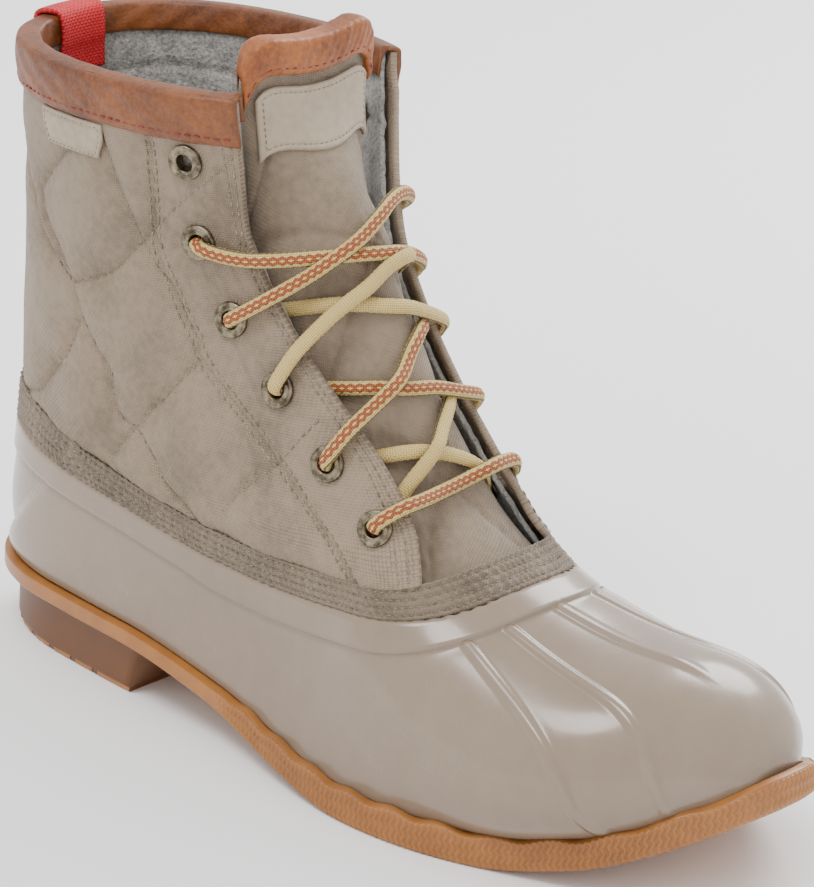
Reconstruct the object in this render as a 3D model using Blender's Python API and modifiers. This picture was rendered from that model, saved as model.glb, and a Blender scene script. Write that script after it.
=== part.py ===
"""A right duck boot: rubber shell and gum outsole below, quilted nylon shaft with laced throat above.

Metres, +Z up. The toe points to -Y, the outer (lateral) side is -X, the origin is under the middle of the
boot on the floor. Stations s run along the sole from the heel (0) to the toe (1).
"""

import math

import bmesh
import bpy
import numpy as np
from mathutils import Matrix, Vector

# Overall sizes
SOLE_LENGTH = 0.285  # heel to toe over the outsole, a woman's EU 39
SOLE_WIDTH = 0.101  # over the ball
COLLAR_HEIGHT = 0.184  # back of the collar over the floor
SHELL_HEIGHT = 0.060  # rubber shell's edge over the floor, at the ankle

# Sole
BALL_SOLE = 0.0085  # thickness under the ball
HEEL_RISE = 0.014  # the heel's seat over the ball's
TOE_SPRING = 0.026  # the tip's seat over the ball's
HEEL_ROUND = 0.13  # share of the length rounded at the heel
TOE_ROUND = 0.20  # the same at the toe
HEEL_INSET = 0.0042  # heel block inside the flange
HEEL_BREAST = 0.262  # station of the heel block's front edge on the floor
BREAST_SLOPE = 0.020  # stations that the breast leans forward over its height
LIP_FROM = 0.40  # station where the wavy lip starts
LIP_HEIGHT = 0.0011
LIP_WAVES = 11.0  # waves from LIP_FROM to the tip, each side
RIM_INSET = 0.0034  # shell's feather line inside the outsole's edge
LIP_CLEAR = 0.0022  # lip's inner edge outside the feather line
GROOVE_WIDTH = 0.0026
GROOVE_DEPTH = 0.0017
GROOVE_PITCH = 0.0105
GAP = 0.0003
EDGE_GAP = 0.0007  # between the shell's edge and the shaft

# Upper
SHELL_WALL = 0.0025
SHAFT_WALL = 0.0040  # quilted nylon with its fleece lining
RIM_BAND = 0.0105  # flat band along the shell's edge
RIM_STEP = 0.0010
RIB_WIDTH = 0.0034
RIB_HEIGHT = 0.0009
SHELL_ROWS = 12  # rows of the shell's mesh under its rim band
BAND_STEP = 0.0005  # stitched band of the shaft under the quilted part
STAY_WIDTH = 0.021  # eyestay along the throat
STAY_STEP = 0.0006
TONGUE_WALL = 0.0040
TONGUE_ABOVE = 0.011  # tongue's top over the collar's front
INSOLE_WALL = 0.0040
INSOLE_INSET = 0.0084

# Trim
BINDING_WALL = 0.0014
BINDING_OUTSIDE = 0.0125
BINDING_INSIDE = 0.0070
BINDING_CLEAR = 0.00035
STRAP_WIDTH = 0.020
STRAP_WALL = 0.0014
STRAP_CLEAR = 0.0005
STRAP_INSIDE = 0.016  # red webbing's length inside the collar
PATCH_WIDTH = 0.014
PATCH_HEIGHT = 0.020
PATCH_WALL = 0.0008
LABEL_WALL = 0.0010
EYELET_OUTER = 0.0105
EYELET_HOLE = 0.0050
EYELET_BARREL = 0.0064
EYELET_WASHER = 0.0092
EYELET_LIP = 0.0009
EYELET_CLEAR = 0.0006  # under the flange
WASHER_CLEAR = 0.0015  # over the washer, inside
LACE = 0.0043

# Sole outline: station, middle, half width (shares of SOLE_WIDTH)
SOLE_ROWS = (
    (0.00, 0.000, 0.290), (0.12, -0.012, 0.318), (0.28, -0.040, 0.336), (0.42, -0.050, 0.348),
    (0.55, -0.048, 0.420), (0.65, -0.020, 0.466), (0.73, 0.016, 0.466), (0.82, 0.062, 0.428),
    (0.91, 0.078, 0.392), (1.00, 0.092, 0.334),
)
# Seat of the upper: station, share of HEEL_RISE, share of TOE_SPRING
LEVELS = (
    (0.00, 1.00, 0.00), (0.25, 0.97, 0.00), (0.40, 0.58, 0.00), (0.52, 0.18, 0.00), (0.62, 0.00, 0.00),
    (0.76, 0.00, 0.00), (0.86, 0.00, 0.22), (0.93, 0.00, 0.55), (1.00, 0.00, 1.00),
)
# Sole's thickness: station, share of BALL_SOLE
PLATE = ((0.00, 0.58), (0.28, 0.58), (0.40, 0.66), (0.52, 0.88), (0.60, 1.00), (0.80, 1.00), (1.00, 0.92))
# Upper's sections, each from a base on the sole (or, with climb, on the back) to a top on the ridge:
# u, base station, climb up the back, top station, top height (of COLLAR_HEIGHT), middle and half (of
# SOLE_WIDTH), height share of the widest point
SECTIONS = (
    (0.00, 0.984, 0.00, 0.984, 0.284, 0.078, 0.330, 0.35),
    (0.05, 0.976, 0.00, 0.976, 0.289, 0.080, 0.346, 0.35),
    (0.10, 0.950, 0.00, 0.950, 0.302, 0.076, 0.375, 0.33),
    (0.16, 0.900, 0.00, 0.898, 0.316, 0.047, 0.410, 0.31),
    (0.23, 0.830, 0.00, 0.828, 0.320, 0.013, 0.440, 0.29),
    (0.31, 0.740, 0.00, 0.733, 0.345, -0.015, 0.448, 0.28),
    (0.39, 0.640, 0.00, 0.650, 0.408, -0.028, 0.418, 0.28),
    (0.46, 0.540, 0.00, 0.606, 0.508, -0.028, 0.376, 0.30),
    (0.53, 0.430, 0.00, 0.572, 0.600, -0.025, 0.343, 0.33),
    (0.60, 0.310, 0.00, 0.544, 0.683, -0.025, 0.328, 0.38),
    (0.67, 0.170, 0.00, 0.521, 0.758, -0.025, 0.321, 0.42),
    (0.73, 0.050, 0.00, 0.505, 0.816, -0.023, 0.325, 0.44),
    (0.76, 0.010, 0.00, 0.497, 0.841, -0.020, 0.331, 0.45),
    (0.80, 0.010, 0.14, 0.486, 0.869, -0.014, 0.336, 0.46),
    (0.86, 0.024, 0.36, 0.472, 0.912, -0.003, 0.352, 0.48),
    (0.93, 0.034, 0.66, 0.463, 0.966, 0.008, 0.384, 0.49),
    (1.00, 0.018, 1.00, 0.458, 1.033, 0.016, 0.428, 0.50),
)
TIP = SECTIONS[0][1]
U_HEEL = 0.76  # u of the last section whose base is on the sole
ROUND_TOP = 2.15  # superellipse powers of a section over and under its widest point
ROUND_BASE = 2.3
A_WIDEST = 0.6
TOE_TOP_ROUND = 0.13
# Shell's edge in side view: station, share of SHELL_HEIGHT
TOPLINE = (
    (0.00, 1.125), (0.07, 1.115), (0.13, 1.075), (0.19, 1.030), (0.25, 0.990), (0.31, 0.950), (0.38, 0.920),
    (0.45, 0.912), (0.52, 0.932), (0.59, 0.970), (0.64, 1.005), (0.68, 1.060), (0.72, 1.180),
)
# Top of the stitched band, the same way
BAND_TOP = (
    (0.00, 1.320), (0.07, 1.305), (0.13, 1.255), (0.19, 1.180), (0.25, 1.120), (0.31, 1.075), (0.38, 1.045),
    (0.45, 1.040), (0.52, 1.060), (0.58, 1.085), (0.62, 1.110), (0.65, 1.155), (0.68, 1.240),
)
# Throat's edges: height share between band and collar, station of the lateral and of the medial edge
THROAT = (
    (0.00, 0.640, 0.640), (0.10, 0.614, 0.606), (0.20, 0.578, 0.572), (0.30, 0.532, 0.532),
    (0.40, 0.482, 0.500), (0.50, 0.438, 0.476), (0.60, 0.406, 0.450), (0.70, 0.388, 0.424),
    (0.80, 0.384, 0.398), (0.90, 0.382, 0.376), (1.00, 0.381, 0.362),
)
# Ribs on the vamp: share of the shell's edge from its front, how far down the rib reaches
RIBS = ((0.000, 0.45), (0.072, 0.04), (0.118, 0.04))
# Columns of the shell: share of the edge, share of the feather line
COLUMNS = (
    (0.00, 0.000), (0.072, 0.070), (0.118, 0.125), (0.30, 0.330), (0.50, 0.540), (0.75, 0.760), (1.00, 1.000),
)
# How quickly a column leaves the feather line: feather share, reach
REACH = ((0.00, 0.001), (0.03, 0.02), (0.07, 0.08), (0.125, 0.18), (0.20, 0.50), (0.33, 2.0), (1.00, 8.0))
# Eyelets from the top: station, height (share of COLLAR_HEIGHT)
EYELETS = ((0.330, 0.922), (0.341, 0.795), (0.380, 0.683), (0.444, 0.597), (0.514, 0.509), (0.581, 0.436))

COLORS = {
    "gum_rubber": (0.47, 0.22, 0.06),
    "shell_rubber": (0.33, 0.26, 0.19),
    "nylon": (0.33, 0.28, 0.21),
    "tan_leather": (0.33, 0.12, 0.03),
    "red_webbing": (0.70, 0.01, 0.02),
    "label_cloth": (0.45, 0.38, 0.28),
    "fleece": (0.40, 0.38, 0.34),
    "antique_brass": (0.16, 0.12, 0.08),
    "lace_cord": (0.75, 0.62, 0.32),
}


KNOTS = {}


def spline(rows, column, at):
    """Natural cubic spline through a table's column."""
    if (rows, column) not in KNOTS:
        x = np.array([r[0] for r in rows])
        y = np.array([r[column] for r in rows])
        h = np.diff(x)
        slope = np.diff(y) / h
        system = np.eye(len(x))
        right = np.zeros(len(x))
        for i in range(1, len(x) - 1):
            system[i, i - 1 : i + 2] = h[i - 1], 2 * (h[i - 1] + h[i]), h[i]
            right[i] = 6 * (slope[i] - slope[i - 1])
        KNOTS[rows, column] = x, y, h, np.linalg.solve(system, right)
    x, y, h, m = KNOTS[rows, column]
    at = np.asarray(at, float)
    i = np.clip(np.searchsorted(x, at) - 1, 0, len(x) - 2)
    a = x[i + 1] - at
    b = at - x[i]
    w = h[i]
    ends = (y[i] / w - m[i] * w / 6) * a + (y[i + 1] / w - m[i + 1] * w / 6) * b
    return (m[i] * a**3 + m[i + 1] * b**3) / (6 * w) + ends


def steady(rows, column, at):
    """Cubic through a table's column that never overshoots its rows."""
    if (rows, column, "steady") not in KNOTS:
        x = np.array([r[0] for r in rows])
        y = np.array([r[column] for r in rows])
        h = np.diff(x)
        d = np.diff(y) / h
        m = np.zeros(len(x))
        m[0] = d[0]
        m[-1] = d[-1]
        for i in range(1, len(x) - 1):
            if d[i - 1] * d[i] > 0:
                m[i] = 2 * d[i - 1] * d[i] / (d[i - 1] + d[i])
        KNOTS[rows, column, "steady"] = x, y, h, m
    x, y, h, m = KNOTS[rows, column, "steady"]
    at = np.asarray(at, float)
    i = np.clip(np.searchsorted(x, at) - 1, 0, len(x) - 2)
    t = (at - x[i]) / h[i]
    return (
        (2 * t**3 - 3 * t**2 + 1) * y[i] + (t**3 - 2 * t**2 + t) * h[i] * m[i]
        + (3 * t**2 - 2 * t**3) * y[i + 1] + (t**3 - t**2) * h[i] * m[i + 1]
    )


def outline(s, inset=0.0):
    """Middle and half width of the sole at station s, taken in by inset all round."""
    s = np.asarray(s, float)
    end = inset / SOLE_LENGTH
    half = spline(SOLE_ROWS, 2, s) * SOLE_WIDTH - inset
    t = np.clip((HEEL_ROUND + end - s) / HEEL_ROUND, 0, 1)
    half = half * (1 - t**2.2) ** (1 / 2.2)
    t = np.clip((s - (1 - TOE_ROUND - end)) / TOE_ROUND, 0, 1)
    half = half * (1 - t**2.3) ** (1 / 2.3)
    return spline(SOLE_ROWS, 1, s) * SOLE_WIDTH, half


def seat(s):
    """Height of the outsole's top face."""
    return BALL_SOLE + HEEL_RISE * steady(LEVELS, 1, s) + TOE_SPRING * steady(LEVELS, 2, s)


def underside(s):
    return seat(s) - BALL_SOLE * steady(PLATE, 1, s)


def section(u):
    """A section's base and top in side view, middle, half width, the same at its base, widest height."""
    u = np.asarray(u, float)
    base_s = spline(SECTIONS, 1, u)
    base_s = np.where(u <= U_HEEL, np.maximum(base_s, SECTIONS[12][1]), base_s)
    climb = np.where(u <= U_HEEL, 0.0, np.clip(steady(SECTIONS[12:], 2, np.maximum(u, U_HEEL)), 0, 1))
    foot = seat(np.clip(base_s, 0, 1)) + GAP
    base_z = foot + climb * (COLLAR_HEIGHT - seat(0.0) - GAP)
    top_s = spline(SECTIONS, 3, u)
    top_z = spline(SECTIONS, 4, u) * COLLAR_HEIGHT
    middle = spline(SECTIONS, 5, u) * SOLE_WIDTH
    half = spline(SECTIONS, 6, u) * SOLE_WIDTH
    foot_middle, foot_half = outline(base_s, RIM_INSET)
    foot_half = np.where(climb > 0, 0.0, foot_half)
    foot_middle = foot_middle * (1 - climb) + middle * climb
    tau = np.clip((base_s - (TIP - TOE_ROUND)) / TOE_ROUND, 0, 1)
    half = np.maximum(half * (1 - tau**2.3) ** (1 / 2.3), foot_half)
    tau = np.clip((base_s - (TIP - TOE_TOP_ROUND)) / TOE_TOP_ROUND, 0, 1)
    top_z = base_z + (top_z - base_z) * (1 - tau**2.5) ** (1 / 2.5)
    widest = spline(SECTIONS, 7, u)
    return base_s, base_z, top_s, top_z, middle, half, foot_middle, foot_half, widest


def upper(u, a):
    """Point of the upper's outside; |a| is 0 on the ridge, 1 on the feather line or back, a < 0 lateral."""
    u, a = np.broadcast_arrays(np.asarray(u, float), np.asarray(a, float))
    base_s, base_z, top_s, top_z, middle, half, foot_middle, foot_half, widest = section(u)
    m = np.abs(a)
    high = np.clip(m / A_WIDEST, 0, 1) * math.pi / 2
    low = np.clip((m - A_WIDEST) / (1 - A_WIDEST), 0, 1) * math.pi / 2
    x_high = half * np.sin(high) ** (2 / ROUND_TOP)
    v_high = widest + (1 - widest) * np.cos(high) ** (2 / ROUND_TOP)
    x_low = foot_half + (half - foot_half) * np.cos(low) ** (2 / ROUND_BASE)
    v_low = widest * (1 - np.sin(low) ** (2 / ROUND_BASE))
    x = np.where(m < A_WIDEST, x_high, x_low)
    v = np.where(m < A_WIDEST, v_high, v_low)
    s = base_s + v * (top_s - base_s)
    z = base_z + v * (top_z - base_z)
    sway = np.clip(v / widest, 0, 1)
    middle = foot_middle + (middle - foot_middle) * sway * (2 - sway)
    return np.stack([middle + np.sign(a) * x, SOLE_LENGTH * (0.5 - s), z], -1)


def from_side(s, z):
    """u and |a| of the upper's point seen in side view at station s and height z."""
    s, z = np.broadcast_arrays(np.asarray(s, float), np.asarray(z, float))
    low = np.full(s.shape, 0.02)
    high = np.full(s.shape, 1.0)
    for _ in range(40):
        u = (low + high) / 2
        base_s, base_z, top_s, top_z = section(u)[:4]
        ahead = (s - base_s) * (top_z - base_z) > (z - base_z) * (top_s - base_s)
        high = np.where(ahead, u, high)
        low = np.where(ahead, low, u)
    u = (low + high) / 2
    base_s, base_z, top_s, top_z = section(u)[:4]
    widest = section(u)[-1]
    v = np.clip((z - base_z) / (top_z - base_z), 0, 1)
    up = np.clip((v - widest) / (1 - widest), 0, 1) ** (ROUND_TOP / 2)
    down = np.clip(1 - v / widest, 0, 1) ** (ROUND_BASE / 2)
    a_high = np.arccos(up) / (math.pi / 2) * A_WIDEST
    a_low = A_WIDEST + (1 - A_WIDEST) * np.arcsin(down) / (math.pi / 2)
    return u, np.where(v > widest, a_high, a_low)


class Line:
    """A line on the upper, kept as u and |a| over its share of length (0 at the front, 1 at the back)."""

    def __init__(self, u, a):
        points = upper(u, a)
        step = np.linalg.norm(np.diff(points, axis=0), axis=1)
        self.length = float(step.sum())
        self.share = np.concatenate([[0], np.cumsum(step)]) / self.length
        self.u, self.a = u, a

    def at(self, share):
        return np.interp(share, self.share, self.u), np.interp(share, self.share, self.a)


def side_line(rows, scale):
    """The line that a side view table gives, from the ridge to the middle of the back."""
    ridge_u = np.linspace(0.10, 0.60, 1200)
    ridge = upper(ridge_u, 0.0)
    ridge_s = 0.5 - ridge[:, 1] / SOLE_LENGTH
    height = steady(rows, 1, np.clip(ridge_s, rows[0][0], rows[-1][0])) * scale
    over = np.where(ridge_s < rows[-1][0], ridge[:, 2] - height, -1)
    front = float(ridge_s[np.argmax(over > 0)])
    back_u = np.linspace(U_HEEL + 0.001, 1.0, 800)
    back_s, back_z = section(back_u)[:2]
    back = float(back_s[np.argmax(back_z > steady(rows, 1, np.clip(back_s, 0, 1)) * scale)])
    t = (1 - np.cos(np.linspace(0, math.pi, 500))) / 2
    t = 0.7 * t + 0.3 * t**2 * (3 - 2 * t)
    s = front + (back - front) * t
    u, a = from_side(s, steady(rows, 1, s) * scale)
    a[0] = 0.0
    a[-1] = 1.0
    return Line(u, np.maximum.accumulate(a))


def feather_line():
    """The upper's lower edge on the sole, from the tip to the heel's middle."""
    u = np.concatenate([np.linspace(0, 0.7, 500), U_HEEL - 0.06 * np.linspace(1, 0, 400) ** 2])
    return Line(u, np.ones(len(u)))


TOP_EDGE = side_line(TOPLINE, SHELL_HEIGHT)
BAND_EDGE = side_line(BAND_TOP, SHELL_HEIGHT)
FEATHER = feather_line()


def smooth(x):
    x = np.clip(x, 0, 1)
    return x * x * (3 - 2 * x)


def shell_path(share, v):
    """u and a on the shell's column that ends at a share of its edge; v runs up from the feather line."""
    share, v = np.broadcast_arrays(np.asarray(share, float), np.asarray(v, float))
    p = np.abs(share)
    f = steady(COLUMNS, 1, p)
    u0 = FEATHER.at(f)[0]
    u1, a1 = TOP_EDGE.at(p)
    # Over the toes a column bends towards the ridge, along the sides it is straight in side view
    reach = np.exp(np.interp(f, [r[0] for r in REACH], [math.log(r[1]) for r in REACH]))
    u = u0 + (u1 - u0) * v
    a = a1 + (1 - a1) * (1 - v) * reach / (reach + v)
    low, high = upper(u0, 1.0), upper(u1, a1)
    line = low + (high - low) * v[..., None]
    side_u, side_a = from_side(0.5 - line[..., 1] / SOLE_LENGTH, line[..., 2])
    side = smooth((p - 0.45) / 0.12)
    # Round the heel it keeps its distance from the back seam's plane
    foot, half = section(u0)[7], section(u)[5]
    turn = (np.clip(a1, A_WIDEST, 1) - A_WIDEST) / (1 - A_WIDEST) * math.pi / 2
    edge = section(u1)[5] * np.cos(turn) ** (2 / ROUND_BASE)
    base = section(u)[7]
    out = np.clip((foot + (edge - foot) * v - base) / np.maximum(half - base, 1e-6), 0, 1) ** (ROUND_BASE / 2)
    back_a = A_WIDEST + (1 - A_WIDEST) * np.arccos(out) / (math.pi / 2)
    back = smooth((p - 0.86) / 0.08)
    side_u = side_u + (u - side_u) * back
    side_a = side_a + (back_a - side_a) * back
    return u + (side_u - u) * side, np.sign(share) * (a + (side_a - a) * side)


def along(path, share, count=160):
    """Lengths along a path's columns: v samples and the distance from their start."""
    v = np.linspace(0, 1, count) ** 1.5
    points = upper(*path(share[None, :], v[:, None]))
    step = np.linalg.norm(np.diff(points, axis=0), axis=2)
    return v, np.concatenate([np.zeros((1, len(share))), np.cumsum(step, axis=0)])


def rows_between(path, share, spread):
    """Grid of u and a: spread(length) gives each column's row distances from its start."""
    v, run = along(path, share)
    columns = []
    for k in range(len(share)):
        wanted = spread(run[-1, k])
        columns.append(np.interp(wanted, run[:, k], v))
    grid = np.array(columns).T
    return path(share[None, :], grid)


def normals(points, ring):
    """Outward unit normals of a grid of points, rows going up and columns going round."""
    up = np.gradient(points, axis=0)
    if ring:
        loop = np.concatenate([points[:, -1:], points, points[:, :1]], axis=1)
        round_ = (loop[:, 2:] - loop[:, :-2]) / 2
    else:
        round_ = np.gradient(points, axis=1)
    n = np.cross(up, round_)
    n /= np.linalg.norm(n, axis=2, keepdims=True) + 1e-12
    middle = points.mean((0, 1))
    if ((points - middle) * n).sum(2).mean() < 0:
        n = -n
    return n


def move_to(obj, material, collection):
    obj.data.materials.append(material)
    collection.objects.link(obj)
    return obj


def mesh_from(name, verts, faces, material):
    mesh = bpy.data.meshes.new(name)
    mesh.from_pydata([tuple(float(c) for c in v) for v in verts], [], faces)
    shape = bmesh.new()
    shape.from_mesh(mesh)
    bmesh.ops.remove_doubles(shape, verts=shape.verts, dist=1e-6)
    bmesh.ops.dissolve_degenerate(shape, edges=shape.edges, dist=1e-6)
    bmesh.ops.recalc_face_normals(shape, faces=shape.faces)
    shape.to_mesh(mesh)
    shape.free()
    return move_to(bpy.data.objects.new(name, mesh), material, PART)


def walled(name, outer, inner, cells, ring, material):
    """Closed solid between two grids of points over the cells that a mask keeps."""
    rows, columns = outer.shape[:2]
    verts = np.concatenate([outer.reshape(-1, 3), inner.reshape(-1, 3)])
    half = rows * columns
    faces, edges = [], {}

    def corner(i, j):
        return i * columns + j % columns

    for i in range(rows - 1):
        for j in range(columns if ring else columns - 1):
            if not cells[i, j]:
                continue
            loop = [corner(i, j), corner(i, j + 1), corner(i + 1, j + 1), corner(i + 1, j)]
            faces.append(loop)
            faces.append([half + k for k in reversed(loop)])
            for k in range(4):
                pair = loop[k], loop[(k + 1) % 4]
                if pair[::-1] in edges:
                    del edges[pair[::-1]]
                else:
                    edges[pair] = True
    for a, b in edges:
        faces.append([b, a, half + a, half + b])
    used = sorted({k for f in faces for k in f})
    place = {k: n for n, k in enumerate(used)}
    return mesh_from(name, verts[used], [[place[k] for k in f] for f in faces], material)


def tube(name, loops, material, closed=False):
    """Solid through loops of points; the ends are capped unless the loops close on themselves."""
    loops = np.array(loops)
    count, size = loops.shape[:2]
    faces = []
    for i in range(count if closed else count - 1):
        for k in range(size):
            m = (k + 1) % size
            n = (i + 1) % count
            faces.append([i * size + k, i * size + m, n * size + m, n * size + k])
    if not closed:
        faces.append(list(range(size))[::-1])
        faces.append([(count - 1) * size + k for k in range(size)])
    return mesh_from(name, loops.reshape(-1, 3), faces, material)


def boolean(target, cutter, operation):
    """Applies an exact Boolean and hides its cutter."""
    modifier = target.modifiers.new(operation.title(), "BOOLEAN")
    modifier.operation = operation
    modifier.solver = "EXACT"
    modifier.object = cutter
    cutter.hide_render = True
    cutter.display_type = "WIRE"
    for collection in list(cutter.users_collection):
        collection.objects.unlink(cutter)
    TOOLS.objects.link(cutter)


def material(name, roughness, metallic=0.0):
    m = bpy.data.materials.new(name)
    m.use_nodes = True
    shader = m.node_tree.nodes["Principled BSDF"]
    shader.inputs["Base Color"].default_value = (*COLORS[name], 1)
    shader.inputs["Roughness"].default_value = roughness
    shader.inputs["Metallic"].default_value = metallic
    m.diffuse_color = (*COLORS[name], 1)
    return m


def mirrored(values, sign=1):
    """One side's columns and their mirror image as a ring, the ridge once and the back once."""
    values = list(values)
    return np.array([sign * v for v in reversed(values[1:])] + values[:-1])


def frame_at(u, a, lift=0.0):
    """Point, outward normal and upward direction of the upper's outside."""
    step = 2e-3
    point = upper(u, a)
    over = upper(u + step, a) - upper(u - step, a)
    side = upper(u, a + step) - upper(u, a - step)
    n = np.cross(over, side)
    n = n / np.linalg.norm(n)
    if np.dot(n, point - np.array([0, 0.06, 0.08])) < 0:
        n = -n
    t = over / np.linalg.norm(over)
    return point + n * lift, n, t


def make_outsole():
    """Plate, flange and wavy lip as one loft, with the heel block joined and the grooves cut."""
    stations = np.concatenate([
        0.5 * (1 - np.cos(np.linspace(0, math.pi / 2, 7))) * 2 * 0.13,
        np.linspace(0.17, LIP_FROM, 6),
        np.linspace(LIP_FROM, 0.86, 28)[1:],
        0.86 + 0.14 * np.sin(np.linspace(0, math.pi / 2, 14))[1:],
    ])
    stations[0], stations[-1] = 0.0006, 0.9994
    loops = []
    for s in stations:
        middle, half = (float(v) for v in outline(s))
        inner = max(float(outline(s, RIM_INSET - LIP_CLEAR)[1]), half * 0.55)
        if s > TIP - 0.03:
            inner = min(inner, half * 0.6 if s > TIP else inner)
        top, bottom = float(seat(s)), float(underside(s))
        ramp = min(max((s - LIP_FROM) / 0.05, 0), 1)
        wave = math.cos(2 * math.pi * LIP_WAVES * (s - LIP_FROM) / (1 - LIP_FROM))
        lip = LIP_HEIGHT * ramp * (0.55 + 0.45 * wave)
        soft = 0.0012 * min(1.0, half / 0.02)
        y = SOLE_LENGTH * (0.5 - s)
        right = [
            (0.0, top), (inner, top), (inner + 0.0001, top + lip), (half - 0.4 * soft, top + lip),
            (half, top + lip - 0.8 * soft), (half, bottom + soft), (half - soft, bottom), (0.0, bottom),
        ]
        left = [(-x, z) for x, z in reversed(right[1:-1])]
        loops.append([(middle + x, y, z) for x, z in right + left])
    sole = tube("outsole", loops, MATERIALS["gum_rubber"])

    steps = 40
    top = float(underside(0.10)) + 0.002
    block = []
    for z, in_by in ((0.0, HEEL_INSET + 0.0006), (0.0008, HEEL_INSET), (top, HEEL_INSET - 0.0004)):
        front = HEEL_BREAST + BREAST_SLOPE * z / top
        s = front * (1 - np.sin(np.linspace(0, math.pi / 2, steps // 2)))
        s = np.maximum(s, in_by / SOLE_LENGTH + 1e-4)
        middle, half = outline(s, in_by)
        y = SOLE_LENGTH * (0.5 - s)
        near = [(m - h, p, z) for m, h, p in zip(middle, half, y)]
        far = [(m + h, p, z) for m, h, p in zip(middle, half, y)]
        block.append(near + far[::-1])
    heel = tube("heel_block", block, MATERIALS["gum_rubber"])
    boolean(sole, heel, "UNION")

    cutters = []
    for start, count in ((0.560, 9), (0.060, 5)):
        for k in range(count):
            s = start + k * GROOVE_PITCH / SOLE_LENGTH
            bpy.ops.mesh.primitive_cube_add(size=1, location=(0, SOLE_LENGTH * (0.5 - s), 0))
            bar = bpy.context.object
            bar.name = f"groove_{len(cutters)}"
            bar.scale = (SOLE_WIDTH * 1.4, GROOVE_WIDTH, 2 * GROOVE_DEPTH)
            cutters.append(bar)
            boolean(sole, bar, "DIFFERENCE")
    return sole


def make_insole():
    stations = 0.5 * (1 - np.cos(np.linspace(0.02, math.pi - 0.02, 24)))
    low = INSOLE_INSET / SOLE_LENGTH
    loops = []
    for k in stations:
        s = low + (1 - 2 * low) * k
        middle, half = (float(v) for v in outline(s, INSOLE_INSET))
        z = float(seat(s)) + GAP
        y = SOLE_LENGTH * (0.5 - s)
        across = (middle - half, middle, middle + half)
        loops.append([(x, y, z) for x in across] + [(x, y, z + INSOLE_WALL) for x in across[::-1]])
    return tube("insole", loops, MATERIALS["fleece"])


def rib_columns():
    """One side's columns on the shell, with each column's rib height and how low the rib reaches."""
    wide = RIB_WIDTH / TOP_EDGE.length / 2
    columns = {}
    for centre, reach in RIBS:
        for off, high in ((-1.0, 0), (-0.55, 1), (0.55, 1), (1.0, 0)):
            p = centre + off * wide
            if p > 0:
                columns[p] = (high * RIB_HEIGHT, reach)
    columns[0.0] = (RIB_HEIGHT, RIBS[0][1])
    for p in (0.038, 0.095):
        columns[p] = (0.0, 0.0)
    for p in np.linspace(0.145, 1.0, 19):
        columns[float(p)] = (0.0, 0.0)
    return dict(sorted(columns.items()))


def make_shell():
    table = rib_columns()
    shares = mirrored(table, -1)
    heights = mirrored(v[0] for v in table.values())
    reaches = mirrored(v[1] for v in table.values())

    def spread(length):
        low = length - RIM_BAND
        return np.concatenate([np.linspace(0, low, SHELL_ROWS), [low + 0.0007, low + RIM_BAND / 2, length]])

    u, a = rows_between(shell_path, shares, spread)
    outer = upper(u, a)
    n = normals(outer, True)
    n[-4:] = surface_normals(u[-4:], a[-4:])
    n[0, :, 2] = 0
    n[0] /= np.linalg.norm(n[0], axis=1, keepdims=True)
    low = np.linspace(0, 1, SHELL_ROWS)
    step = np.zeros(outer.shape[:2])
    for j in range(len(shares)):
        up = np.clip((low - reaches[j]) / 0.10, 0, 1)
        step[:SHELL_ROWS, j] = heights[j] * up * np.clip((1 - low) / 0.02, 0, 1)
    step[SHELL_ROWS:] = RIM_STEP
    inner = outer - n * SHELL_WALL
    outer = outer + n * step[..., None]
    s = 0.5 - inner[0, :, 1] / SOLE_LENGTH
    inner[0, :, 2] = seat(np.clip(s, 0, 1)) + GAP
    cells = np.ones((outer.shape[0] - 1, outer.shape[1]), bool)
    return walled("shell", outer, inner, cells, True, MATERIALS["shell_rubber"])


def throat_station(w, side):
    return steady(THROAT, 1 if side < 0 else 2, w)


def collar_line(side):
    """The collar from a throat's corner round to the back, and that corner's height."""
    a = np.linspace(0.0, 1.0, 900)
    points = upper(1.0, a)
    s = 0.5 - points[:, 1] / SOLE_LENGTH
    first = int(np.argmax(s < throat_station(1.0, side)))
    return Line(np.ones(len(a) - first), a[first:]), float(points[first, 2])


COLLARS = {side: collar_line(side) for side in (-1, 1)}
BAND_STATIONS = 0.5 - upper(BAND_EDGE.u, BAND_EDGE.a)[:, 1] / SOLE_LENGTH
THROAT_SHARE = float(BAND_EDGE.share[int(np.argmax(BAND_STATIONS < THROAT[0][1]))])


def throat_edge(w, side):
    """u and |a| on the throat's edge, w from the band (0) to the collar (1)."""
    collar, corner_z = COLLARS[side]
    u0, a0 = BAND_EDGE.at(THROAT_SHARE)
    low = float(upper(u0, a0)[2])
    u, a = from_side(throat_station(w, side), low + np.asarray(w, float) * (corner_z - low))
    u1, a1 = collar.at(0.0)
    w = np.asarray(w, float)
    start = np.clip(1 - w / 0.08, 0, 1)
    end = np.clip((w - 0.92) / 0.08, 0, 1)
    u = u * (1 - start - end) + start * u0 + end * u1
    return u, a * (1 - start - end) + start * a0 + end * a1


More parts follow.
